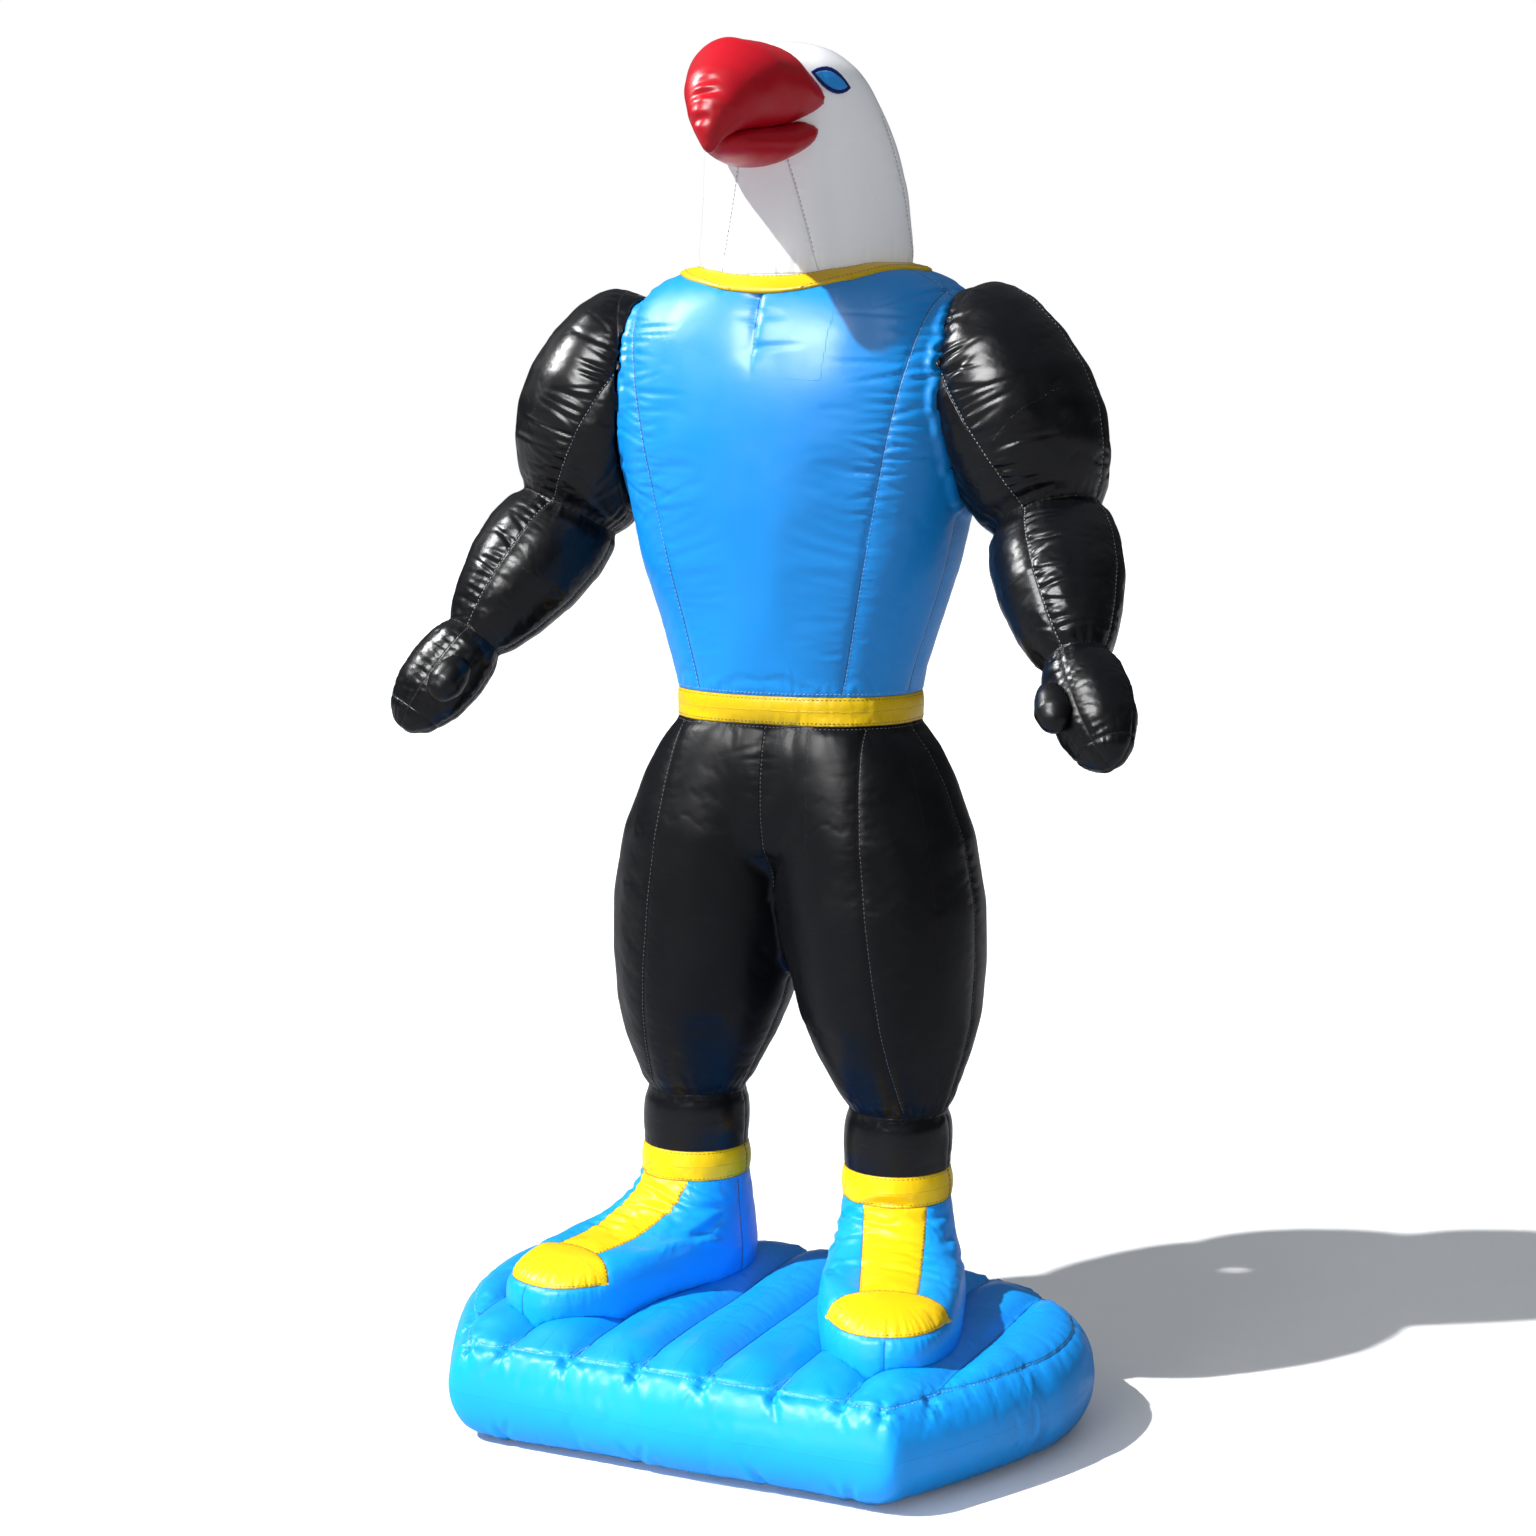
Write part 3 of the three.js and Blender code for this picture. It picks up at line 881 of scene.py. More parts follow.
@dataclass(frozen=True)
class Air:
    """The air in a bag: a cloth simulation that swells the skin between its sewn lines.

    The skin starts slack inside its full shape and is held along its seams. Its cloth is cut longer
    by the share spare, a point moves no further than cap and stands out of the full shape by no more
    than about proud.
    """

    pressure: float = 4.0
    frames: int = 10
    slack: float = 0.005
    spare: float = 0.006
    cap: float = 0.010
    proud: float = 0.002
    sewn: float = 0.009

    def fill(self, skin: Skin, reliefs: Sequence[Relief]) -> Skin:
        """Swells a bag and applies the result.

        Args:
            skin: The bag's full shape.
            reliefs: Its reliefs, whose seams hold the cloth.
        """
        outward = skin.normals()
        start = skin.points - outward * self.slack
        obj = Skin(start, skin.faces).to_object("bag")
        held = np.zeros(len(start))
        for seam in reliefs:
            if isinstance(seam, Seam):
                near = np.exp(-((seam.measure(skin.points)[1] / self.sewn) ** 2))
                held = np.maximum(held, seam.hold(skin.points) * near)
        group = obj.vertex_groups.new(name="sewn")
        for index in np.flatnonzero(held > 0.02).tolist():
            group.add([index], float(held[index]), "REPLACE")
        cloth = obj.modifiers.new("air", "CLOTH")
        cloth.settings.quality = 3
        cloth.settings.use_pressure = True
        cloth.settings.uniform_pressure_force = self.pressure
        cloth.settings.shrink_min = -self.spare
        cloth.settings.bending_stiffness = 0.2
        cloth.settings.effector_weights.gravity = 0.0
        cloth.settings.vertex_group_mass = group.name
        cloth.collision_settings.use_collision = False
        cloth.collision_settings.use_self_collision = False
        for number in range(1, self.frames + 1):
            bpy.context.scene.frame_set(number)
        blown = points_of(obj.evaluated_get(bpy.context.evaluated_depsgraph_get()).data)
        mesh = obj.data
        bpy.data.objects.remove(obj)
        bpy.data.meshes.remove(mesh)
        bpy.context.scene.frame_set(1)
        move = blown - start
        way = np.linalg.norm(move, axis=1, keepdims=True)
        points = start + move * np.minimum(1.0, self.cap / np.maximum(way, 1e-9))
        stand = np.sum((points - skin.points) * outward, axis=1, keepdims=True)
        eased = np.where(stand > 0, self.proud * np.tanh(stand / self.proud), stand)
        return Skin(points + outward * (eased - stand), skin.faces)


# Stitches


@dataclass(frozen=True)
class Stitch:
    """One stitch of thick thread, as a low closed lozenge."""

    length: float = 0.0052
    pitch: float = 0.0078
    width: float = 0.0014
    rise: float = 0.0007
    sink: float = 0.0005


class Stitching:
    """The stitches of one bag or limb, gathered into one mesh."""

    stitch = Stitch()

    def __init__(self, seed: int) -> None:
        """Starts with no stitches; the seed is that of their lengths."""
        self.random = np.random.default_rng(seed)
        self.places: List[Array] = []

    def sew(self, skin: Skin, seams: Sequence[Relief], keep: Sequence[Span] = ()) -> None:
        """Adds the rows of stitches of every seam on a skin.

        Args:
            skin: The dressed skin.
            seams: Its reliefs; those that aren't seams have no stitches.
            keep: Half spaces outside which no stitch is set.
        """
        corners = np.concatenate([skin.faces[:, [0, 1, 2]], skin.faces[:, [0, 2, 3]]])
        for seam in seams:
            if not isinstance(seam, Seam):
                continue
            hold = seam.hold(skin.points)
            for span in keep:
                hold = hold * span.share(skin.points)
            off = seam.measure(skin.points)[1]
            for row in seam.rows:
                self._sew_row(skin, corners, off - row, hold)

    def _sew_row(self, skin: Skin, corners: Array, level: Array, hold: Array) -> None:
        """Sets stitches where a level surface cuts the skin's triangles.

        Args:
            skin: The dressed skin.
            corners: The skin's triangles.
            level: A value at each point, nought on the row.
            hold: How much of the seam there is at each point.
        """
        values = level[corners]
        cut = (values.min(axis=1) < 0) & (values.max(axis=1) >= 0)
        cut &= (hold[corners].mean(axis=1) > 0.5) & (np.abs(values).max(axis=1) < 0.02)
        triangles = corners[cut]
        joints: Dict[Tuple[int, int], List[int]] = {}
        ends: List[List[Tuple[int, int]]] = []
        for index, triangle in enumerate(triangles.tolist()):
            keys = []
            for a, b in ((0, 1), (1, 2), (2, 0)):
                first, second = triangle[a], triangle[b]
                if (level[first] < 0) != (level[second] < 0):
                    keys.append((min(first, second), max(first, second)))
            ends.append(keys)
            for key in keys:
                joints.setdefault(key, []).append(index)
        points = skin.points
        first, second, third = (points[triangles[:, i]] for i in range(3))
        facing = units(np.cross(second - first, third - first))

        def crossing(key: Tuple[int, int]) -> Array:
            """Finds where the row crosses an edge.

            Args:
                key: The edge's two points.

            Returns:
                The place.
            """
            a, b = key
            share = level[a] / (level[a] - level[b])
            return points[a] + share * (points[b] - points[a])

        used = set()
        open_ends = [index for index, keys in enumerate(ends) if any(len(joints[key]) == 1 for key in keys)]
        for first in open_ends + list(range(len(ends))):
            if first in used:
                continue
            keys = ends[first]
            entry = next((key for key in keys if len(joints[key]) == 1), keys[0])
            path, sides, index = [crossing(entry)], [facing[first]], first
            while index is not None and index not in used:
                used.add(index)
                exit_key = ends[index][0] if ends[index][1] == entry else ends[index][1]
                path.append(crossing(exit_key))
                sides.append(facing[index])
                index = next((other for other in joints[exit_key] if other not in used), None)
                entry = exit_key
            self._lay(np.array(path), np.array(sides))

    def _lay(self, path: Array, sides: Array) -> None:
        """Lays stitches at their pitch along one line.

        Args:
            path: The line's points.
            sides: The outward direction at each point.
        """
        run = run_of(path)
        if run[-1] < 2 * self.stitch.pitch:
            return
        count = int(run[-1] / self.stitch.pitch)
        middles = (np.arange(count) + 0.5) * run[-1] / count
        half = self.stitch.length / 2 * self.random.uniform(0.88, 1.08, count)
        tail, head = rows_at(middles - half, run, path), rows_at(middles + half, run, path)
        self.places.append(np.stack([tail, head, rows_at(middles, run, sides)], axis=1))

    def to_object(self, name: str) -> Object:
        """Makes one object of all the stitches.

        Args:
            name: The object's name.

        Returns:
            The new object.
        """
        places = np.concatenate(self.places)
        tail, head, up = places[:, 0], places[:, 1], places[:, 2]
        along = units(head - tail)
        up = units(up - along * np.sum(up * along, axis=1, keepdims=True))
        aside = np.cross(up, along)
        corners = []
        for rise, width, inset in ((-self.stitch.sink, 1.0, 0.0), (self.stitch.rise, 0.55, 0.0008)):
            for end, sign in ((tail, 1), (head, -1)):
                for edge in (-1, 1):
                    shift = aside * (edge * sign * width * self.stitch.width / 2) + up * rise
                    corners.append(end + along * (inset * sign) + shift)
        points = np.stack(corners, axis=1).reshape(-1, 3)
        box = np.array([(3, 2, 1, 0), (4, 5, 6, 7), (0, 1, 5, 4), (1, 2, 6, 5), (2, 3, 7, 6), (3, 0, 4, 7)])
        faces = (np.arange(len(places))[:, None, None] * 8 + box[None]).reshape(-1, 4)
        return Skin(points, faces).to_object(name)


# Finishes


class Net:
    """Short ways to add nodes to a node tree."""

    def __init__(self, tree: NodeTree) -> None:
        """Works on one tree."""
        self.tree = tree

    def add(self, kind: str, **settings: object) -> bpy.types.Node:
        """Adds a node.

        Args:
            kind: The node's type.
            settings: Values of its properties.

        Returns:
            The node.
        """
        node = self.tree.nodes.new(kind)
        for name, value in settings.items():
            setattr(node, name, value)
        return node

    def put(self, value: object, socket: Socket) -> None:
        """Links a socket, or sets a plain value, on an input.

        Args:
            value: The socket or the value.
            socket: The input.
        """
        if isinstance(value, Socket):
            self.tree.links.new(value, socket)
        else:
            socket.default_value = value

    def math(self, operation: str, first: object, second: object = 0.0) -> Socket:
        """Adds one sum.

        Args:
            operation: The sum's name.
            first: A socket or a number.
            second: A socket or a number.

        Returns:
            The result's socket.
        """
        node = self.add("ShaderNodeMath", operation=operation)
        self.put(first, node.inputs[0])
        self.put(second, node.inputs[1])
        return node.outputs[0]

    def noise(self, vector: Socket, scale: float, detail: float) -> Socket:
        """Adds a noise texture.

        Args:
            vector: Where it is read.
            scale: How fine it is.
            detail: How rough it is.

        Returns:
            Its value's socket.
        """
        node = self.add("ShaderNodeTexNoise")
        node.inputs["Scale"].default_value = scale
        node.inputs["Detail"].default_value = detail
        self.tree.links.new(vector, node.inputs["Vector"])
        return node.outputs["Fac"]

    def ramp(self, value: object, low: float, high: float, start: float = 0.0, end: float = 1.0) -> Socket:
        """Maps a value between two limits onto start to end, eased.

        Args:
            value: A socket or a number.
            low: Its lower limit.
            high: Its upper limit.
            start: The result at the lower limit.
            end: The result at the upper limit.

        Returns:
            The result's socket.
        """
        node = self.add("ShaderNodeMapRange", interpolation_type="SMOOTHSTEP")
        self.put(value, node.inputs["Value"])
        for label, number in (("From Min", low), ("From Max", high), ("To Min", start), ("To Max", end)):
            node.inputs[label].default_value = number
        return node.outputs["Result"]

    def group(self, tree: NodeTree, **inputs: float) -> bpy.types.Node:
        """Places a group with its own values.

        Args:
            tree: The group.
            inputs: Its values.

        Returns:
            The group's node.
        """
        node = self.add("ShaderNodeGroup", node_tree=tree)
        for label, value in inputs.items():
            node.inputs[label].default_value = value
        return node

    def mix(self, factor: object, first: object, second: object) -> Socket:
        """Mixes two colours, each a socket or four numbers.

        Args:
            factor: The share of the second colour.
            first: The first colour.
            second: The second colour.

        Returns:
            The mixed colour's socket.
        """
        node = self.add("ShaderNodeMix", data_type="RGBA")
        for value, index in ((factor, 0), (first, 6), (second, 7)):
            self.put(value, node.inputs[index])
        return node.outputs[2]


def start_group(name: str, inputs: Dict[str, float],
                outputs: Sequence[str]) -> Tuple[Net, bpy.types.Node, bpy.types.Node]:
    """Makes an empty shader node group with its sockets.

    Args:
        name: The group's name.
        inputs: Each value that goes in, with its default.
        outputs: The values that come out.

    Returns:
        The group's net, the node that its values come in by and the one that they leave by.
    """
    tree = bpy.data.node_groups.new(name, "ShaderNodeTree")
    for label, value in inputs.items():
        socket = tree.interface.new_socket(label, in_out="INPUT", socket_type="NodeSocketFloat")
        socket.default_value = value
    for label in outputs:
        tree.interface.new_socket(label, in_out="OUTPUT", socket_type="NodeSocketFloat")
    net = Net(tree)
    return net, net.add("NodeGroupInput"), net.add("NodeGroupOutput")


@lru_cache(maxsize=None)
def coated_grain() -> NodeTree:
    """The fine skin of coated cloth, and the soft waves that break its gloss.

    Returns:
        The group.
    """
    net, start, end = start_group("coated_grain", {"Grain": 1.0, "Waves": 1.0}, ("Height", "Tone"))
    place = net.add("ShaderNodeTexCoord").outputs["Object"]
    fine = net.math("MULTIPLY", net.noise(place, scale=620.0, detail=2.0), 0.10)
    peel = net.math("MULTIPLY", net.noise(place, scale=150.0, detail=3.0), 0.22)
    waves = net.noise(place, scale=17.0, detail=2.0)
    grain = net.math("MULTIPLY", net.math("ADD", fine, peel), start.outputs["Grain"])
    swell = net.math("MULTIPLY", waves, start.outputs["Waves"])
    net.put(net.math("ADD", grain, swell), end.inputs["Height"])
    net.put(net.noise(place, scale=5.0, detail=4.0), end.inputs["Tone"])
    return net.tree


@lru_cache(maxsize=None)
def handling() -> NodeTree:
    """Faint lines from being packed, and smudges from being handled.

    Returns:
        The group.
    """
    net, start, end = start_group("handling", {"Scale": 8.0}, ("Crease", "Smudge"))
    place = net.add("ShaderNodeTexCoord").outputs["Object"]
    bend = net.add("ShaderNodeTexNoise")
    net.put(6.0, bend.inputs["Scale"])
    net.put(place, bend.inputs["Vector"])
    warped = net.add("ShaderNodeVectorMath", operation="MULTIPLY_ADD")
    for value, socket in zip((bend.outputs["Color"], (0.09, 0.09, 0.09), place), warped.inputs):
        net.put(value, socket)
    cells = net.add("ShaderNodeTexVoronoi", feature="DISTANCE_TO_EDGE")
    net.put(warped.outputs[0], cells.inputs["Vector"])
    net.put(start.outputs["Scale"], cells.inputs["Scale"])
    gap = net.math("SUBTRACT", 1.0, net.ramp(cells.outputs["Distance"], 0.0, 0.05))
    there = net.ramp(net.noise(place, scale=4.0, detail=2.0), 0.5, 0.66)
    net.put(net.math("MULTIPLY", gap, there), end.inputs["Crease"])
    net.put(net.ramp(net.noise(place, scale=11.0, detail=5.0), 0.38, 0.72), end.inputs["Smudge"])
    return net.tree


@lru_cache(maxsize=None)
def sewn_line(lie: Lie) -> NodeTree:
    """The line of the nearest seam, a mask for painted shade in its groove, for roughness and for a dent in
    the bump, and the fine gathers beside it.

    Args:
        lie: Which of a skin's two seam attributes to read.

    Returns:
        The group.
    """
    net, start, end = start_group(f"sewn_line_{lie.value}", {"Reach": 0.02}, ("Line", "Gathers"))
    read = net.add("ShaderNodeAttribute", attribute_name=lie.value)
    split = net.add("ShaderNodeSeparateXYZ")
    net.put(read.outputs["Vector"], split.inputs[0])
    run, off, hold = split.outputs
    away = net.math("ABSOLUTE", off)
    line = net.math("SUBTRACT", 1.0, net.ramp(away, 0.0004, 0.0020))
    net.put(net.math("MULTIPLY", line, hold), end.inputs["Line"])
    along = net.add("ShaderNodeCombineXYZ")
    net.put(net.math("MULTIPLY", run, 130.0), along.inputs[0])
    net.put(net.math("MULTIPLY", off, 26.0), along.inputs[1])
    ridges = net.noise(along.outputs[0], scale=1.0, detail=1.0)
    share = net.math("DIVIDE", away, start.outputs["Reach"])
    fade = net.math("EXPONENT", net.math("MULTIPLY", share, -1.0))
    net.put(net.math("MULTIPLY", ridges, net.math("MULTIPLY", fade, hold)), end.inputs["Gathers"])
    return net.tree


def start_material(name: str) -> Tuple[bpy.types.Material, Net, bpy.types.Node]:
    """Makes a new material.

    Args:
        name: Its name.

    Returns:
        The material, its net and its shader.
    """
    material = bpy.data.materials.new(name)
    material.use_nodes = True
    return material, Net(material.node_tree), material.node_tree.nodes["Principled BSDF"]


@dataclass(frozen=True)
class Vinyl:
    """A coated cloth: its colour, a darker colour that it mottles to at random and that its painted shades
    are made from, its gloss and how it creases.

    edge is how much painted shade darkens it where it turns away from the camera, the groove tone how dark
    the painted shade along its seam lines is, as in their grooves, and the glow painted light that it gives
    off in its own colour, which lifts its shaded side.
    """

    name: str
    slot: str
    colour: Vec
    hollow: Vec
    roughness: float
    coat: float = 0.06
    coat_roughness: float = 0.16
    specular: float = 0.28
    waves: float = 1.0
    grain: float = 1.0
    crease: float = 0.6
    smudge: float = 0.06
    gathers: float = 1.0
    edge: float = 0.0
    needle: float = 0.25
    glow: float = 0.0

    @lru_cache(maxsize=None)
    def material(self) -> bpy.types.Material:
        """Makes the finish's material on first use.

        Returns:
            The material.
        """
        material, net, shader = start_material(self.name)
        # Painted light: the emission glows in the finish's own colour at the glow's strength and lifts its
        # shaded side.
        plain = {"Specular IOR Level": self.specular, "Coat Weight": self.coat,
                 "Coat Roughness": self.coat_roughness, "Emission Color": (*self.colour, 1.0),
                 "Emission Strength": self.glow}
        for label, value in plain.items():
            net.put(value, shader.inputs[label])
        grain = net.group(coated_grain(), Grain=self.grain, Waves=self.waves)
        worn = net.group(handling(), Scale=8.0)
        length = net.group(sewn_line(Lie.LENGTHWISE), Reach=0.016)
        ring = net.group(sewn_line(Lie.ROUND), Reach=0.014)
        line = net.math("MAXIMUM", length.outputs["Line"], ring.outputs["Line"])
        gathers = net.math("ADD", length.outputs["Gathers"], ring.outputs["Gathers"])
        tone = net.ramp(grain.outputs["Tone"], 0.3, 0.7, 0.0, 0.35)
        base = net.mix(tone, (*self.colour, 1.0), (*self.hollow, 1.0))
        # Painted shade: the colour that the seam lines darken to, as if shaded in their grooves.
        dark = tuple(value * self.needle for value in self.hollow)
        # Painted shade: the colour darkens towards the silhouette, where the skin turns away from the camera.
        turning = net.add("ShaderNodeLayerWeight")
        net.put(0.4, turning.inputs["Blend"])
        rim = net.math("MULTIPLY", net.math("POWER", turning.outputs["Facing"], 3.0), self.edge)
        base = net.mix(rim, base, (*(value * 0.25 for value in self.hollow), 1.0))
        # Painted shade along each seam line, as in its groove.
        sewn = net.mix(net.math("MULTIPLY", line, 0.75), base, (*dark, 1.0))
        net.put(sewn, shader.inputs["Base Color"])
        low, high = self.roughness - self.smudge / 2, self.roughness + self.smudge
        rough = net.ramp(worn.outputs["Smudge"], 0.0, 1.0, low, high)
        net.put(net.math("MAXIMUM", rough, net.math("MULTIPLY", line, 0.6)), shader.inputs["Roughness"])
        creases = net.math("MULTIPLY", worn.outputs["Crease"], self.crease)
        height = net.math("SUBTRACT", grain.outputs["Height"], creases)
        height = net.math("ADD", height, net.math("MULTIPLY", gathers, self.gathers * 2.4))
        height = net.math("SUBTRACT", height, net.math("MULTIPLY", line, 0.8))
        bump = net.add("ShaderNodeBump")
        for label, value in (("Strength", 0.5), ("Distance", 0.001), ("Height", height)):
            net.put(value, bump.inputs[label])
        net.put(bump.outputs["Normal"], shader.inputs["Normal"])
        return material


@dataclass(frozen=True)
class Thread:
    """A sewing thread's finish."""

    name: str
    colour: Vec
    roughness: float = 0.45

    @lru_cache(maxsize=None)
    def material(self) -> bpy.types.Material:
        """Makes the thread's material on first use.

        Returns:
            The material.
        """
        material, net, shader = start_material(self.name)
        net.put(self.roughness, shader.inputs["Roughness"])
        place = net.add("ShaderNodeTexCoord").outputs["Object"]
        shade = net.ramp(net.noise(place, scale=240.0, detail=2.0), 0.35, 0.65)
        dark = tuple(value * 0.55 for value in self.colour)
        net.put(net.mix(shade, (*dark, 1.0), (*self.colour, 1.0)), shader.inputs["Base Color"])
        return material


PALE = Thread("pale_thread", (0.42, 0.43, 0.45))
SMOKE = Thread("smoke_thread", (0.09, 0.095, 0.10))
SKY = Thread("sky_thread", (0.20, 0.47, 0.86))
OCHRE = Thread("ochre_thread", (0.30, 0.20, 0.02))
GREY = Thread("grey_thread", (0.45, 0.46, 0.48))

BLUE = Vinyl("sky_blue_vinyl", "blue_vinyl", (0.003, 0.290, 0.830), (0.002, 0.238, 0.720), 0.41,
             specular=0.34, crease=0.2)
YELLOW = Vinyl("trim_yellow_vinyl", "yellow_vinyl", (0.760, 0.500, 0.004), (0.670, 0.420, 0.003), 0.37,
               specular=0.26)
BLACK = Vinyl("black_gloss_vinyl", "black_gloss", (0.0032, 0.0034, 0.0045), (0.0022, 0.0024, 0.0032), 0.31,
              coat=0.04, specular=0.25, gathers=0.4, crease=0.2)
SATIN = Vinyl("black_satin_vinyl", "black_satin", (0.0036, 0.0038, 0.0048), (0.0025, 0.0026, 0.0034), 0.40,
              coat=0.0, specular=0.16, gathers=0.5, crease=0.2)
# The head's white has painted shade at its silhouette and painted light from its glow, which lifts its shaded
# side.
WHITE = Vinyl("head_white_vinyl", "white_vinyl", (0.850, 0.860, 0.885), (0.790, 0.802, 0.830), 0.42, coat=0.0,
              crease=0.2, edge=0.75, needle=0.5, glow=0.12)
RED = Vinyl("beak_red_vinyl", "red_vinyl", (0.470, 0.004, 0.014), (0.390, 0.003, 0.011), 0.36, specular=0.20)
NAVY = Vinyl("rim_navy_vinyl", "navy_vinyl", (0.004, 0.018, 0.160), (0.003, 0.013, 0.120), 0.34)
IRIS = Vinyl("iris_blue_vinyl", "eye_blue_vinyl", (0.030, 0.320, 0.860), (0.022, 0.250, 0.720), 0.32)


# Pieces


def mark_runs(obj: Object, seams: Sequence[Relief]) -> None:
    """Notes on every point of a piece where it lies beside its nearest seams.

    Args:
        obj: The piece.
        seams: The reliefs of its skin; those that aren't seams are passed over.
    """
    mesh = obj.data
    points = points_of(mesh)
    for lie in Lie:
        best = np.zeros((len(points), 3))
        best[:, 1] = 1.0
        for seam in seams:
            if not isinstance(seam, Seam) or seam.lie is not lie:
                continue
            run, off = seam.measure(points)
            hold = seam.hold(points)
            nearer = (hold > 0.02) & (np.abs(off) < np.abs(best[:, 1]))
            best[nearer] = np.stack([run, off, hold], axis=1)[nearer]
        layer = mesh.attributes.new(lie.value, "FLOAT_VECTOR", "POINT")
        layer.data.foreach_set("vector", best.ravel())


def present(obj: Object, finish: Vinyl, node: str, seams: Sequence[Relief] = ()) -> None:
    """Finishes a padded piece and puts it on the figure in place of its CAD solid.

    Args:
        obj: The piece.
        finish: Its finish.
        node: The CAD solid that it stands for.
        seams: The reliefs of its skin.
    """
    mark_runs(obj, seams)
    obj.data.materials.clear()
    obj.data.materials.append(finish.material())
    activate(obj)
    bpy.ops.object.shade_smooth_by_angle(angle=CUT_ANGLE)
    deselect()
    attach(obj, "root")
    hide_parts(node)
    LOG.info("%s: %d faces, %s", obj.name, len(obj.data.polygons), finish.name)


def present_stitches(stitching: Stitching, name: str, thread: Thread) -> None:
    """Puts a bag's stitches on the figure.

    Args:
        stitching: The stitches.
        name: The piece's name.
        thread: Its finish.
    """
    obj = stitching.to_object(name)
    obj.data.materials.append(thread.material())
    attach(obj, "root")
    LOG.info("%s: %d stitches", name, len(obj.data.polygons) // 6)


def above(z: float) -> Plane:
    """A level cut that takes off what lies above it."""
    return ((0.0, 0.0, z), UP)


def below(z: float) -> Plane:
    """A level cut that takes off what lies below it."""
    return ((0.0, 0.0, z), DOWN)


def over(z: float, fade: float = 0.03) -> Span:
    """The half space over a height."""
    return Span((0.0, 0.0, z), UP, fade)


def under(z: float, fade: float = 0.03) -> Span:
    """The half space under a height."""
    return Span((0.0, 0.0, z), DOWN, fade)


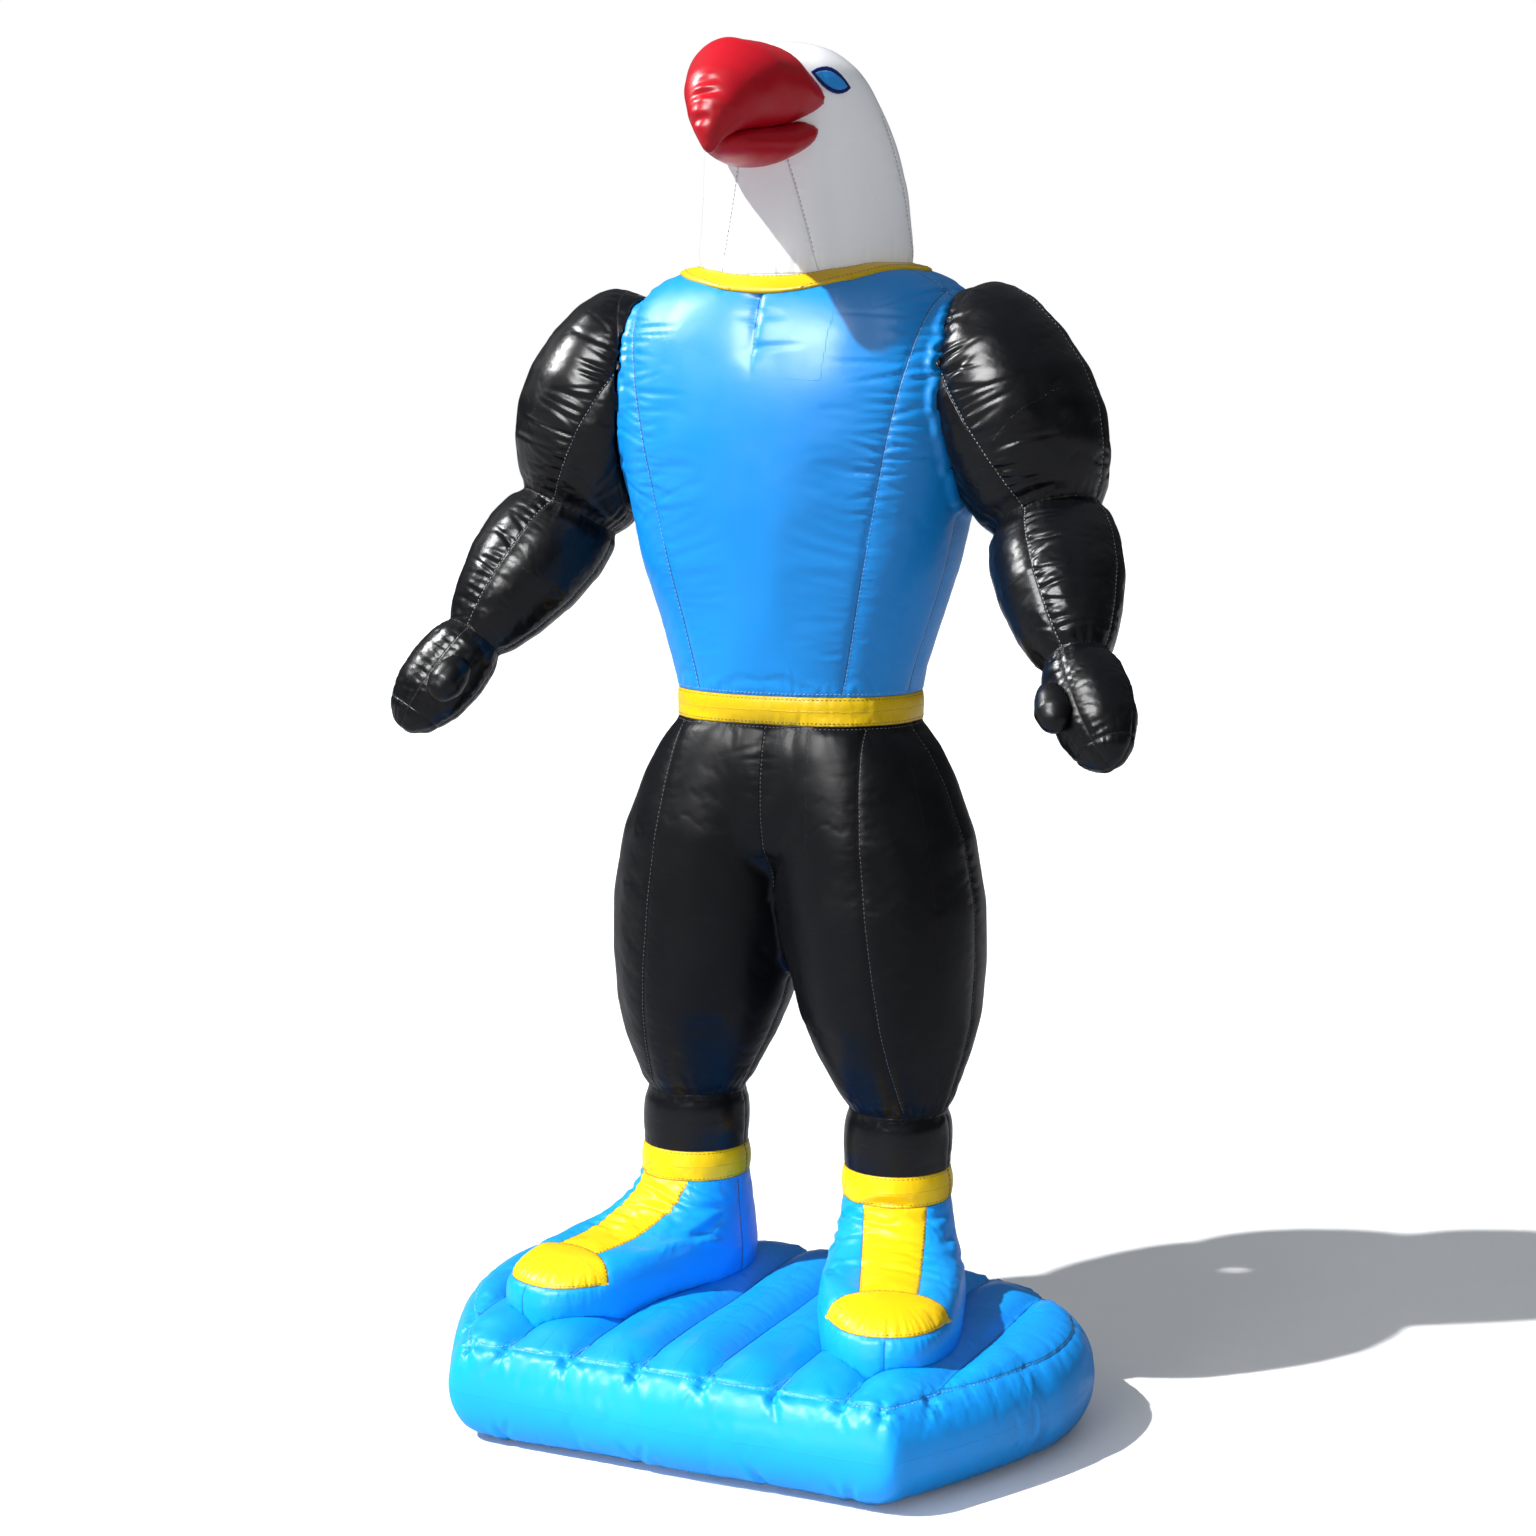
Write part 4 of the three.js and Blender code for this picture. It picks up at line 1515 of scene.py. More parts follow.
@dataclass
class Trunk:
    """The vest, its neckband and the waistband under it."""

    cell: float = 0.0084
    spread: float = 0.024
    waist_top: float = 1.275
    waist_bottom: float = 1.225
    body_y: float = 0.170
    neck: Vec = (0.193, 0.193, 0.181)  # how far back its centre lies, its half width and half depth
    neck_low: float = 1.93
    band_width: float = 0.040
    band_steps: Tuple[int, int] = (260, 12)  # round the neck and across the band
    band_crown: Tuple[float, float] = (0.0036, 0.0026)  # at its edges, and what its middle adds
    band_sink: float = 0.0016
    band_foot: float = 1.925
    top_stitch: float = 1.99
    legs_trim: float = 1.10

    def seams(self) -> List[Relief]:
        """Lists the reliefs of the trunk's skin.

        Returns:
            Seams and waves.
        """
        upper = Gather(draw=0.0034, depth=0.0030, pitch=0.0150, reach=0.070)
        lower = Gather(draw=0.0026, depth=0.0005, pitch=0.022, reach=0.036)
        dart = Gather(draw=0.0075, ease=(0.005, 0.020), depth=0.0034, pitch=0.050, reach=0.075, width=0.008,
                      sides=(1.0, 0.25))
        waist = Gather(draw=0.0036, ease=(0.006, 0.006), depth=0.0010, pitch=0.024, reach=0.040)
        hem = Gather(draw=0.0036, ease=(0.006, 0.006), depth=0.0012, pitch=0.024, reach=0.022)
        slope: Vec = (1.0, 0.0, -0.2145)
        start: Vec = (0.135, 0.0, self.waist_top)
        over_waist = over(self.waist_top + 0.004, 0.004)
        shoulder = Seam(start, slope, UP, upper, 11, (over(1.60, 0.16),))
        flank = Seam(start, slope, UP, lower, 12, (under(1.60, 0.16), over_waist))
        armpit = Seam((0.0, 0.145, 0.0), BACK, UP, lower, 13, (over_waist, Span((0.15, 0.0, 0.0), LEFT)))
        waist_rings = [
            RingSeam((0.0, self.body_y, z), UP, BACK, gather, seed, rows=rows, radius=0.2)
            for z, gather, seed, rows in (
                (self.waist_top, waist, 17, (0.005, -0.005)),
                (self.waist_bottom, hem, 18, (0.005,)),
            )
        ]
        return [
            shoulder, shoulder.mirrored(), flank, flank.mirrored(), armpit, armpit.mirrored(),
            Seam(MIDDLE, LEFT, UP, dart, 15,
                 (over(1.868, 0.12), under(1.962, 0.012), Span((0.0, 0.17, 0.0), AHEAD))),
            Seam(MIDDLE, LEFT, UP, lower, 16, (over_waist, Span((0.0, 0.17, 0.0), BACK))),
            *waist_rings,
            Unevenness(0.0011, 0.26, 20),
        ]

    def build(self, arm: BVHTree) -> BVHTree:
        """Makes the vest, the waistband and the neckband.

        Args:
            arm: The left arm's skin, which the armhole's rim lies beside.

        Returns:
            A search tree over the vest, for what stands on it.
        """
        trims = {f"trouser_leg_{side.tag}": below(self.legs_trim) for side in Side}
        seams = self.seams()
        blank = blank_of(["vest", "waistband", *trims], self.cell, self.spread, trims)
        skin = Air(spare=0.003).fill(blank, seams).refined().dressed(seams + [Rim(arm)])
        present(slab(skin, "vest_skin", [below(self.waist_top)], self.cell), BLUE, "vest", seams)
        band = slab(skin, "waistband_skin", [above(self.waist_top), below(self.waist_bottom)], self.cell)
        present(band, YELLOW, "waistband", seams)
        blue, ochre = Stitching(seed=21), Stitching(seed=22)
        blue.sew(skin, seams, (over(self.waist_top, SHARP), under(self.top_stitch)))
        ochre.sew(skin, seams, (over(self.waist_bottom, SHARP), under(self.waist_top, SHARP)))
        tree = skin.tree()
        self.build_neckband(tree, ochre)
        present_stitches(blue, "vest_stitching", SKY)
        present_stitches(ochre, "band_stitching", OCHRE)
        return tree

    def build_neckband(self, tree: BVHTree, stitches: Stitching) -> None:
        """Lofts the band that lies on the vest round the neck.

        Args:
            tree: The vest's skin.
            stitches: Where the band's own stitches go.
        """
        around, across = self.band_steps
        edge_rise, middle_rise = self.band_crown
        centre = np.array((0.0, self.neck[0], self.neck_low))
        shares = np.linspace(0, 1, across)
        lying, rising = [], []
        for turn in np.linspace(0, 2 * math.pi, around, endpoint=False):
            out = np.array((math.cos(turn), math.sin(turn), 0.0))
            inner = 1.0 / math.hypot(out[0] / (self.neck[1] - 0.010), out[1] / (self.neck[2] - 0.010))
            profile, facing = [], []
            for rise in np.radians(np.linspace(60, -25, 120)):
                ray = Vector(out * math.cos(rise) + np.array((0.0, 0.0, math.sin(rise))))
                hit, normal, _, _ = tree.ray_cast(Vector(centre), ray)
                profile.append(np.array(hit))
                facing.append(np.array(normal))
            profile, facing = np.array(profile), np.array(facing)
            away = np.hypot(profile[:, 0], profile[:, 1] - centre[1])
            first = int(np.argmax(away >= inner))
            run = run_of(profile[first:])
            for values, kept in ((profile, lying), (facing, rising)):
                kept.append(rows_at(shares * self.band_width, run, values[first:]))
        shifts = range(-6, 7)
        at, up = (sum(np.roll(kept, shift, axis=0) for shift in shifts) / len(shifts)
                  for kept in (lying, rising))
        up = units(up)
        crown = edge_rise + middle_rise * np.sqrt(1 - (2 * shares - 1) ** 4)[None, :, None]
        grid = np.concatenate([at + up * crown, (at - up * self.band_sink)[:, ::-1]], axis=1)
        ring = grid.shape[1]
        index = np.arange(around * ring).reshape(around, ring)
        after = np.roll(index, -1, axis=0)
        beside, after_beside = np.roll(index, -1, axis=1), np.roll(after, -1, axis=1)
        faces = np.stack([index, beside, after_beside, after], axis=-1).reshape(-1, 4)
        band = Skin(grid.reshape(-1, 3), faces).refined()
        edge = Gather(draw=0.0, depth=0.0007, pitch=0.019, reach=0.014)
        inner, outer = (
            OvalSeam((0.0, self.neck[0], 0.0), UP, UP, edge, seed, (over(1.90),), rows=(row,),
                     half=(self.neck[1] + grow, self.neck[2] + grow))
            for seed, grow, row in ((32, -0.006, 0.005), (33, 0.026, -0.004))
        )
        band = band.dressed([inner, outer])
        stitches.sew(band, [inner, outer], (over(self.band_foot, 0.001),))
        present(band.to_object("neckband_skin"), YELLOW, "neckband", [inner])


@dataclass
class Legs:
    """Both legs: the trousers, the shins, and the boots with their cuffs, tongues and toe caps."""

    cell: float = 0.0076
    spread: float = 0.014
    waist: float = 1.225
    knee: float = 0.533
    shin_bottom: float = 0.428
    cuff_bottom: float = 0.374
    cap_forward: float = 0.495
    cap_radius: float = 0.200
    cap_bottom: float = 0.250
    cutter_height: float = 0.3
    # the tongue's half widths at the cuff and at the cap, and how far ahead it starts and ends
    tongue: Tuple[float, float, float, float] = (0.057, 0.049, 0.040, 0.330)
    vest_trim: float = 1.36
    sole_top: float = 0.235
    slit: float = 0.00005

    def foot(self, forward: float, aside: float, z: float) -> Vec:
        """A place on the left boot, from the ankle.

        Args:
            forward: How far towards the toes.
            aside: How far to the figure's left.
            z: Its height.

        Returns:
            The place in the frame.
        """
        c, s = math.cos(FOOT_SPLAY), math.sin(FOOT_SPLAY)
        return (LEG_AXIS[0] + forward * s + aside * c, LEG_AXIS[1] - forward * c + aside * s, z)

    def leg_seams(self) -> List[Relief]:
        """Lists the reliefs of the left leg above the boot.

        Returns:
            Its seams.
        """
        cloth = Gather(0.0030, (0.008, 0.008), 0.0007, 0.021, 0.040)
        waist = Gather(0.0026, (0.006, 0.006), 0.0005, 0.034, 0.080, 0.0075)
        knee = Gather(0.0050, (0.009, 0.012), 0.0022, 0.024, 0.060, 0.006, (1.0, 0.12))
        band = Gather(0.0024, (0.004, 0.004), 0.0006, 0.024, 0.020)
        limits = (over(self.knee + 0.012, 0.02), under(self.waist - 0.005, 0.01))
        on_shin = (over(self.cuff_bottom, 0.004), under(self.knee - 0.006, 0.004))
        rings = [
            RingSeam((*LEG_AXIS, z), UP, BACK, gather, seed, rows=rows, radius=0.1)
            for z, gather, seed, rows in (
                (self.knee, knee, 45, ()),
                (self.shin_bottom, band, 46, (-0.004,)),
                (self.cuff_bottom, band, 47, (0.004,)),
            )
        ]
        return rings + [
            Seam((0.175, 0.0, 1.202), (1.0, 0.0, 0.105), UP, cloth, 41, limits),
            Seam((0.0, 0.150, 0.0), BACK, UP, cloth, 42, limits),
            Seam((0.0, 0.160, 0.0), BACK, UP, band, 43, on_shin),
            RingSeam((0.0, 0.17, self.waist), UP, BACK, waist, 44, rows=(-0.005,), radius=0.2),
        ]

    def boot_seams(self) -> List[Relief]:
        """Lists the reliefs of the left boot.

        Returns:
            Its seams and the folds over its instep and ankle.
        """
        trim = Gather(0.0024, (0.0045, 0.0045), 0.0010, 0.015, 0.022)
        toe = Gather(0.0030, (0.006, 0.004), 0.0026, 0.0125, 0.036, 0.0045, (1.0, 0.35))
        wall = Gather(0.0026, (0.005, 0.005), 0.0012, 0.018, 0.024)
        cuff_half, cap_half, back, front = self.tongue
        forward = unit(np.array(self.foot(1, 0, 0)) - np.array(self.foot(0, 0, 0)))
        aside = np.array((math.cos(FOOT_SPLAY), math.sin(FOOT_SPLAY), 0.0))
        slope = (cuff_half - cap_half) / (front - back)
        ahead, behind, beside = tuple(forward), tuple(-forward), tuple(aside)
        under_cuff = under(self.cuff_bottom - 0.004, 0.008)

        def past(along: float, way: Vec, fade: float) -> Span:
            """The half space that starts at a place along the boot."""
            return Span(self.foot(along, 0, 0), way, fade)

        reliefs: List[Relief] = []
        for sign, seed in ((1, 51), (-1, 52)):
            spans = (past(back, ahead, 0.02), past(0.300, behind, 0.01), under_cuff)
            start, normal = self.foot(back, sign * cuff_half, 0), tuple(aside * sign + forward * slope)
            reliefs.append(Seam(start, normal, ahead, trim, seed, spans, rows=(-0.003,)))
            reliefs.append(Creases(self.foot(0.07, sign * 0.1, 0.315), UP, tuple(forward * sign), 0.085, 8,
                                   0.0030, 0.0065, 0.070, seed + 6))
        lip = (over(self.cap_bottom + 0.003, 0.004), past(0.18, ahead, 0.02))
        drum = self.foot(self.cap_forward, 0, 0)
        return reliefs + [
            OvalSeam(drum, UP, UP, trim, 53, lip, rows=(-0.003,), half=(self.cap_radius, self.cap_radius)),
            RingSeam(self.foot(0.300, 0, self.cap_bottom), UP, behind, toe, 54,
                     (past(0.338, ahead, 0.010),), rows=(0.004,), radius=0.13),
            Seam(self.foot(0, 0, 0), beside, UP, wall, 55,
                 (under(self.cap_bottom - 0.003, 0.004), past(0.25, ahead, 0.03)), rows=()),
            Seam(self.foot(0, 0, 0), beside, UP, wall, 56, (under_cuff, past(-0.02, behind, 0.03))),
            Seam(self.foot(-0.01, 0, 0), ahead, UP, wall, 59, (under_cuff,)),
            Creases(self.foot(0.125, 0, 0.325), tuple(forward * 0.6 - np.array(UP) * 0.8), beside, 0.15, 17,
                    0.0030, 0.0058, 0.105, 60),
        ]

    def reliefs(self) -> List[Relief]:
        """Lists the reliefs of both legs.

        Returns:
            Those of each leg, kept to its own side, and what they share.
        """
        fork = Gather(0.0034, (0.009, 0.009), 0.0012, 0.028, 0.050)
        middle = Seam(MIDDLE, LEFT, UP, fork, 49, (over(0.93, 0.06), under(self.waist - 0.005, 0.01)))
        own = Span(MIDDLE, LEFT, 0.008)
        left = [replace(relief, spans=(*relief.spans, own)) if isinstance(relief, Seam) else relief
                for relief in self.leg_seams() + self.boot_seams()]
        return left + [relief.mirrored() for relief in left] + [middle, Unevenness(0.0012, 0.22, 48)]

    def build(self, plinth: BVHTree) -> None:
        """Makes the pieces of both legs.

        Args:
            plinth: What the boots stand on.
        """
        cloth = ["trouser_leg", "shin", "boot_cuff", "boot", "boot_toe_cap", "boot_tongue"]
        nodes = [f"{node}_{side.tag}" for side in Side for node in cloth] + ["waistband", "vest"]
        reliefs = self.reliefs()
        blank = blank_of(nodes, self.cell, self.spread, {"vest": above(self.vest_trim)})
        full = Air(spare=0.003).fill(blank, reliefs).refined()
        skin = full.dressed(reliefs).seated(plinth, self.sole_top)
        cuts = (self.waist, self.knee, self.shin_bottom, self.cuff_bottom)
        bands = (("trouser_leg", SATIN), ("shin", BLACK), ("boot_cuff", YELLOW))
        for side in Side:
            inside: Plane = ((self.slit * side.value, 0.0, 0.0), (-side.value, 0.0, 0.0))
            for index, (node, finish) in enumerate(bands):
                planes = [above(cuts[index]), below(cuts[index + 1]), inside]
                piece = slab(skin, f"{node}_{side.tag}_skin", planes, self.cell)
                present(piece, finish, f"{node}_{side.tag}", reliefs)
            whole = slab(skin, "boot_whole", [above(self.cuff_bottom), inside], self.cell)
            self.build_boot(whole, side, reliefs)
        pale, ochre = Stitching(seed=61), Stitching(seed=65)
        pale.sew(skin, reliefs, (under(self.waist, SHARP), over(self.shin_bottom, SHARP)))
        ochre.sew(skin, reliefs, (under(self.shin_bottom, SHARP),))
        present_stitches(pale, "trouser_stitching", SMOKE)
        present_stitches(ochre, "boot_stitching", OCHRE)

    def build_boot(self, whole: Object, side: Side, reliefs: Sequence[Relief]) -> None:
        """Cuts the toe cap and the tongue out of a boot.

        Args:
            whole: The boot in one piece, which is used up.
            side: Which boot it is.
            reliefs: The reliefs of its skin.
        """
        drum = self.prism("cap_drum", self.drum_outline(), side)
        wedge = self.prism("tongue_wedge", self.wedge_outline(), side)
        cap = combine(whole, drum, "INTERSECT", f"boot_toe_cap_{side.tag}_skin")
        rest = combine(whole, drum, "DIFFERENCE", "boot_rest")
        tongue = combine(rest, wedge, "INTERSECT", f"boot_tongue_{side.tag}_skin")
        boot = combine(rest, wedge, "DIFFERENCE", f"boot_{side.tag}_skin")
        for tool in (whole, drum, wedge, rest):
            bpy.data.objects.remove(tool)
        present(cap, YELLOW, f"boot_toe_cap_{side.tag}", reliefs)
        present(tongue, YELLOW, f"boot_tongue_{side.tag}", reliefs)
        present(boot, BLUE, f"boot_{side.tag}", reliefs)

    def drum_outline(self) -> Outline:
        """The toe cap's round outline, forward and aside of the ankle."""
        turns, radius = np.linspace(0, 2 * math.pi, 96, endpoint=False), self.cap_radius
        return tuple((self.cap_forward + radius * math.cos(turn), radius * math.sin(turn)) for turn in turns)

    def wedge_outline(self) -> Outline:
        """The tongue's tapering outline, forward and aside of the ankle."""
        cuff_half, cap_half, back, front = self.tongue
        return ((back, -cuff_half), (front, -cap_half), (front, cap_half), (back, cuff_half))

    def prism(self, name: str, outline: Outline, side: Side) -> Object:
        """Makes an upright cutter that stands at the toe cap's lower edge.

        Args:
            name: The cutter's name.
            outline: Its corners, forward and aside of the ankle.
            side: Which side of the figure it is on.

        Returns:
            The cutter.
        """
        shape = bmesh.new()
        ring = []
        for forward, aside in outline:
            x, y, z = self.foot(forward, aside, self.cap_bottom)
            ring.append(shape.verts.new((x * side.value, y, z)))
        face = shape.faces.new(ring)
        top = bmesh.ops.extrude_face_region(shape, geom=[face])["geom"]
        lifted = [item for item in top if isinstance(item, bmesh.types.BMVert)]
        bmesh.ops.translate(shape, vec=(0, 0, self.cutter_height), verts=lifted)
        bmesh.ops.recalc_face_normals(shape, faces=shape.faces[:])
        return new_object(name, mesh_of(shape, name))


@dataclass(frozen=True)
class Rim(Relief):
    """The rolled edge of the vest's armholes, which stands up beside the arms."""

    arm: BVHTree
    rise: float = 0.0065
    away: float = 0.011
    width: float = 0.0065
    beyond: float = 0.2
    low: float = 1.5
    search: float = 0.04

    def heights(self, skin: Skin) -> Array:
        """Finds how far the roll moves each point outwards.

        Args:
            skin: The skin.

        Returns:
            One height for each point.
        """
        points = skin.points
        height = np.zeros(len(points))
        for index in np.flatnonzero((np.abs(points[:, 0]) > self.beyond) & (points[:, 2] > self.low)):
            x, y, z = points[index]
            away = self.arm.find_nearest(Vector((abs(x), y, z)), self.search)[3]
            if away is not None:
                height[index] = math.exp(-(((away - self.away) / self.width) ** 2)) * min(away / 0.006, 1.0)
        return self.rise * height


@dataclass
class Arm:
    """An upper arm, a forearm and a hand, cut from one chain, with its thumb."""

    side: Side
    shoulder: Vec = (0.322, 0.172, 1.976)
    elbow: Vec = (0.462, 0.166, 1.580)
    wrist: Vec = (0.571, 0.0, 1.357)
    fingertip: Vec = (0.667, -0.105, 1.193)
    cell: float = 0.0062
    spread: float = 0.011
    thumb_cell: float = 0.0046
    thumb_spread: float = 0.006

    def runs(self) -> List[Array]:
        """The directions of the upper arm, the forearm and the hand."""
        stations = np.array((self.shoulder, self.elbow, self.wrist, self.fingertip))
        return [unit(step) for step in np.diff(stations, axis=0)]

    def joints(self) -> List[Plane]:
        """The cuts at the elbow and at the wrist, facing down the arm."""
        upper, fore, hand = self.runs()
        return [(self.elbow, tuple(unit(upper + fore))), (self.wrist, tuple(unit(fore + hand)))]

    def make_blanks(self) -> Tuple[Skin, Skin]:
        """Makes what both arms are cut from.

        Returns:
            The left arm's swollen skin and its thumb's skin.
        """
        blank = blank_of(["upper_arm_left", "forearm_left", "hand_left"], self.cell, self.spread)
        thumb = blank_of(["thumb_left"], self.thumb_cell, self.thumb_spread)
        return Air(spare=0.006).fill(blank, self.reliefs()), thumb

    def lengthwise(self, start: Vec, end: Vec, gathers: Sequence[Gather], seed: int,
                   limits: Tuple[Span, ...], lean: float = 0.0,
                   rows: Tuple[float, ...] = (0.0018,)) -> List[Relief]:
        """Lists four seams down a limb: in front, outside, behind and inside.

        Args:
            start: The limb's upper joint.
            end: Its lower joint.
            gathers: Those of the front seam and those of the others.
            seed: The first seam's seed.
            limits: The half spaces that hold the limb.
            lean: How much the front seam starts towards the inside.
            rows: The rows of stitches.

        Returns:
            The seams.
        """
        run = unit(np.subtract(end, start))
        front = unit(np.array(AHEAD) + run * run[1])
        outer = np.cross(run, front)
        outer = outer if outer[0] > 0 else -outer
        seams: List[Relief] = []
        ways = ((front, outer), (outer, front), (-front, outer), (-outer, front))
        for index, (towards, beside) in enumerate(ways):
            spans = (Span(start, tuple(towards), 0.02), *limits)
            facing = tuple(beside - run * (lean if index == 0 else 0.0))
            seams.append(Seam(end, facing, tuple(run), gathers[min(index, 1)], seed + index, spans, rows))
        return seams

    def reliefs(self) -> List[Relief]:
        """Lists the reliefs of the left arm's skin.

        Returns:
            Seams and waves.
        """
        front = Gather(0.0032, (0.007, 0.007), 0.0050, 0.0165, 0.095, sides=(1.0, 0.15))
        soft = Gather(0.0026, (0.006, 0.006), 0.0010, 0.0165, 0.036)
        joint = Gather(0.0060, (0.009, 0.009), 0.0012, 0.0200, 0.036)
        small = Gather(0.0018, (0.005, 0.005), 0.0014, 0.0140, 0.034, 0.0045)
        armhole = Gather(0.0020, (0.010, 0.010), 0.0016, 0.0220, 0.050, sides=(1.0, 0.0))
        elbow, wrist = self.joints()
        (above_elbow, below_elbow), (above_wrist, below_wrist) = (
            [Span(at, tuple(sign * np.array(facing)), 0.004) for sign in (-1, 1)]
            for at, facing in (elbow, wrist)
        )
        tip = tuple(np.array(self.wrist) + 0.80 * (np.array(self.fingertip) - np.array(self.wrist)))
        return [
            *self.lengthwise(self.shoulder, self.elbow, (front, soft), 71, (above_elbow,), 0.22),
            *self.lengthwise(self.elbow, self.wrist, (replace(front, reach=0.070, depth=0.0036), soft), 75,
                             (below_elbow, above_wrist)),
            *self.lengthwise(self.wrist, self.fingertip, (small, small), 87, (below_wrist,), rows=()),
            RingSeam(*elbow, BACK, joint, 81, rows=(), radius=0.11),
            RingSeam(*wrist, BACK, joint, 82, rows=(), radius=0.065),
            RingSeam(tip, tuple(self.runs()[2]), BACK, small, 83, rows=(), radius=0.05),
            OvalSeam((0.0, 0.175, 0.0), UP, UP, armhole, 84, (above_elbow,), rows=(),
                     half=(0.335, 0.222), power=2.4),
            Unevenness(0.0010, 0.18, 85),
        ]

    def build(self, blanks: Tuple[Skin, Skin]) -> BVHTree:
        """Makes the arm's pieces.

        Args:
            blanks: The left arm's skin and its thumb's.

        Returns:
            A search tree over the arm.
        """
        tag = self.side.tag
        reliefs, puff = self.reliefs(), [Unevenness(0.0006, 0.06, 91)]
        elbow, wrist = self.joints()
        if self.side is Side.RIGHT:
            blanks = tuple(blank.mirrored() for blank in blanks)
            reliefs = [relief.mirrored() for relief in reliefs]
            elbow, wrist = ((flip(at), flip(facing)) for at, facing in (elbow, wrist))
        chain, thumb = (blank.refined() for blank in blanks)
        skin = chain.dressed(reliefs)
        lengths = (("upper_arm", [elbow]), ("forearm", [turned(elbow), wrist]), ("hand", [turned(wrist)]))
        for node, planes in lengths:
            present(slab(skin, f"{node}_{tag}_skin", planes, self.cell), BLACK, f"{node}_{tag}", reliefs)
        present(thumb.dressed(puff).to_object(f"thumb_{tag}_skin"), BLACK, f"thumb_{tag}")
        stitches = Stitching(seed=95 + self.side.value)
        stitches.sew(skin, reliefs)
        present_stitches(stitches, f"arm_stitching_{tag}", PALE)
        return skin.tree()


def turned(plane: Plane) -> Plane:
    """The same cut, facing the other way."""
    at, facing = plane
    return at, tuple(-value for value in facing)


@dataclass
class Head:
    """The head with its beak and eyes."""

    cell: float = 0.0076
    spread: float = 0.017
    neck_foot: float = 2.06
    low_stitch: float = 2.03
    beak_cell: float = 0.0050
    beak_spread: float = 0.010
    patch_cell: float = 0.0012
    patch_fill: float = 0.3

    def seams(self) -> List[Relief]:
        """Lists the reliefs of the head's skin.

        Returns:
            Seams and waves.
        """
        cloth = Gather(draw=0.0026, depth=0.0012, pitch=0.019, reach=0.038)
        neck = Gather(draw=0.0012, ease=(0.008, 0.008), depth=0.0020, pitch=0.022, reach=0.055)
        cheek = Seam((0.020, 0.0, 2.282), (1.0, 0.0, 0.25), UP, cloth, 101,
                     (under(2.20, 0.03), Span((0.0, 0.19, 0.0), AHEAD)))
        nape = Seam((0.0, 0.225, 2.10), (0.0, 1.0, 0.30), UP, cloth, 106,
                    (under(2.27), Span((0.04, 0.0, 0.0), LEFT)))
        return [
            cheek, cheek.mirrored(), nape, nape.mirrored(),
            Seam(MIDDLE, LEFT, UP, cloth, 103, (Span((0.0, 0.08, 0.0), BACK),)),
            RingSeam((0.0, 0.193, 1.996), UP, BACK, neck, 104, rows=(), radius=0.187),
            Unevenness(0.0010, 0.20, 105),
        ]

    def build(self, vest: BVHTree) -> None:
        """Makes the head, the beak and the eyes.

        Args:
            vest: What the head stands on.
        """
        seams = self.seams()
        skin = blank_of(["head"], self.cell, self.spread).refined().dressed(seams)
        skin = skin.seated(vest, self.neck_foot)
        stitches = Stitching(seed=111)
        stitches.sew(skin, seams, (over(self.low_stitch),))
        present(skin.to_object("head_skin"), WHITE, "head", seams)
        present_stitches(stitches, "head_stitching", GREY)
        self.build_beak()
        tree = skin.tree()
        for side in Side:
            for node, finish in (("eye_rim", NAVY), ("eye", IRIS)):
                self.build_patch(tree, f"{node}_{side.tag}", finish)

    def build_beak(self) -> None:
        """Makes the upper and the lower beak."""
        ridge = Creases((0.0, -0.19, 2.285), (0.0, -0.35, -1.0), LEFT, 0.13, 9, 0.0016, 0.006, 0.045, 121)
        bridge = Creases((0.0, -0.06, 2.36), (0.0, -1.0, 0.15), LEFT, 0.14, 5, 0.0012, 0.009, 0.05, 122)
        for node, reliefs in (("beak_upper", [ridge, bridge, Unevenness(0.0007, 0.09, 123)]),
                              ("beak_lower", [Unevenness(0.0007, 0.08, 124)])):
            skin = blank_of([node], self.beak_cell, self.beak_spread).refined().dressed(reliefs)
            present(skin.to_object(f"{node}_skin"), RED, node)

    def build_patch(self, tree: BVHTree, node: str, finish: Vinyl) -> None:
        """Lays a patch of cloth on the head where its CAD solid is.

        Args:
            tree: The head's dressed skin.
            node: The patch's CAD solid.
            finish: Its finish.
        """
        plain = bmesh.new()
        plain.from_mesh(frame["nodes"]["head"].data)
        cad_head = BVHTree.FromBMesh(plain)
        plain.free()
        name, cell = f"{node}_patch", self.patch_cell
        obj = new_object(name, mesh_of(cad_shape(node), name))
        apply_modifier(obj, "REMESH", mode="VOXEL", voxel_size=cell, adaptivity=0.0)
        patch = Skin.taken_from(obj).faired(cell, cell)
        moved = []
        for point in patch.points:
            place = Vector(point)
            on_cad, cad_normal, _, _ = cad_head.find_nearest(place)
            height = (place - on_cad).dot(cad_normal)
            on_skin, normal, _, _ = tree.find_nearest(place)
            moved.append(np.array(on_skin + normal * max(height, 0.0)))
        present(Skin(np.array(moved), patch.faces).to_object(name), finish, node)


def nearest_on(line: Array, points: Array) -> Tuple[Array, Array]:
    """Finds where points lie beside a level line.

    Args:
        line: The line's places, close together.
        points: The points to measure.

    Returns:
        The number of the nearest place for each point, and its distance in plan.
    """
    tree = KDTree(len(line))
    for index, (x, y) in enumerate(line.tolist()):
        tree.insert((x, y, 0.0), index)
    tree.balance()
    found = [tree.find((x, y, 0.0))[1:] for x, y in points[:, :2].tolist()]
    return np.array([item[0] for item in found]), np.array([item[1] for item in found])


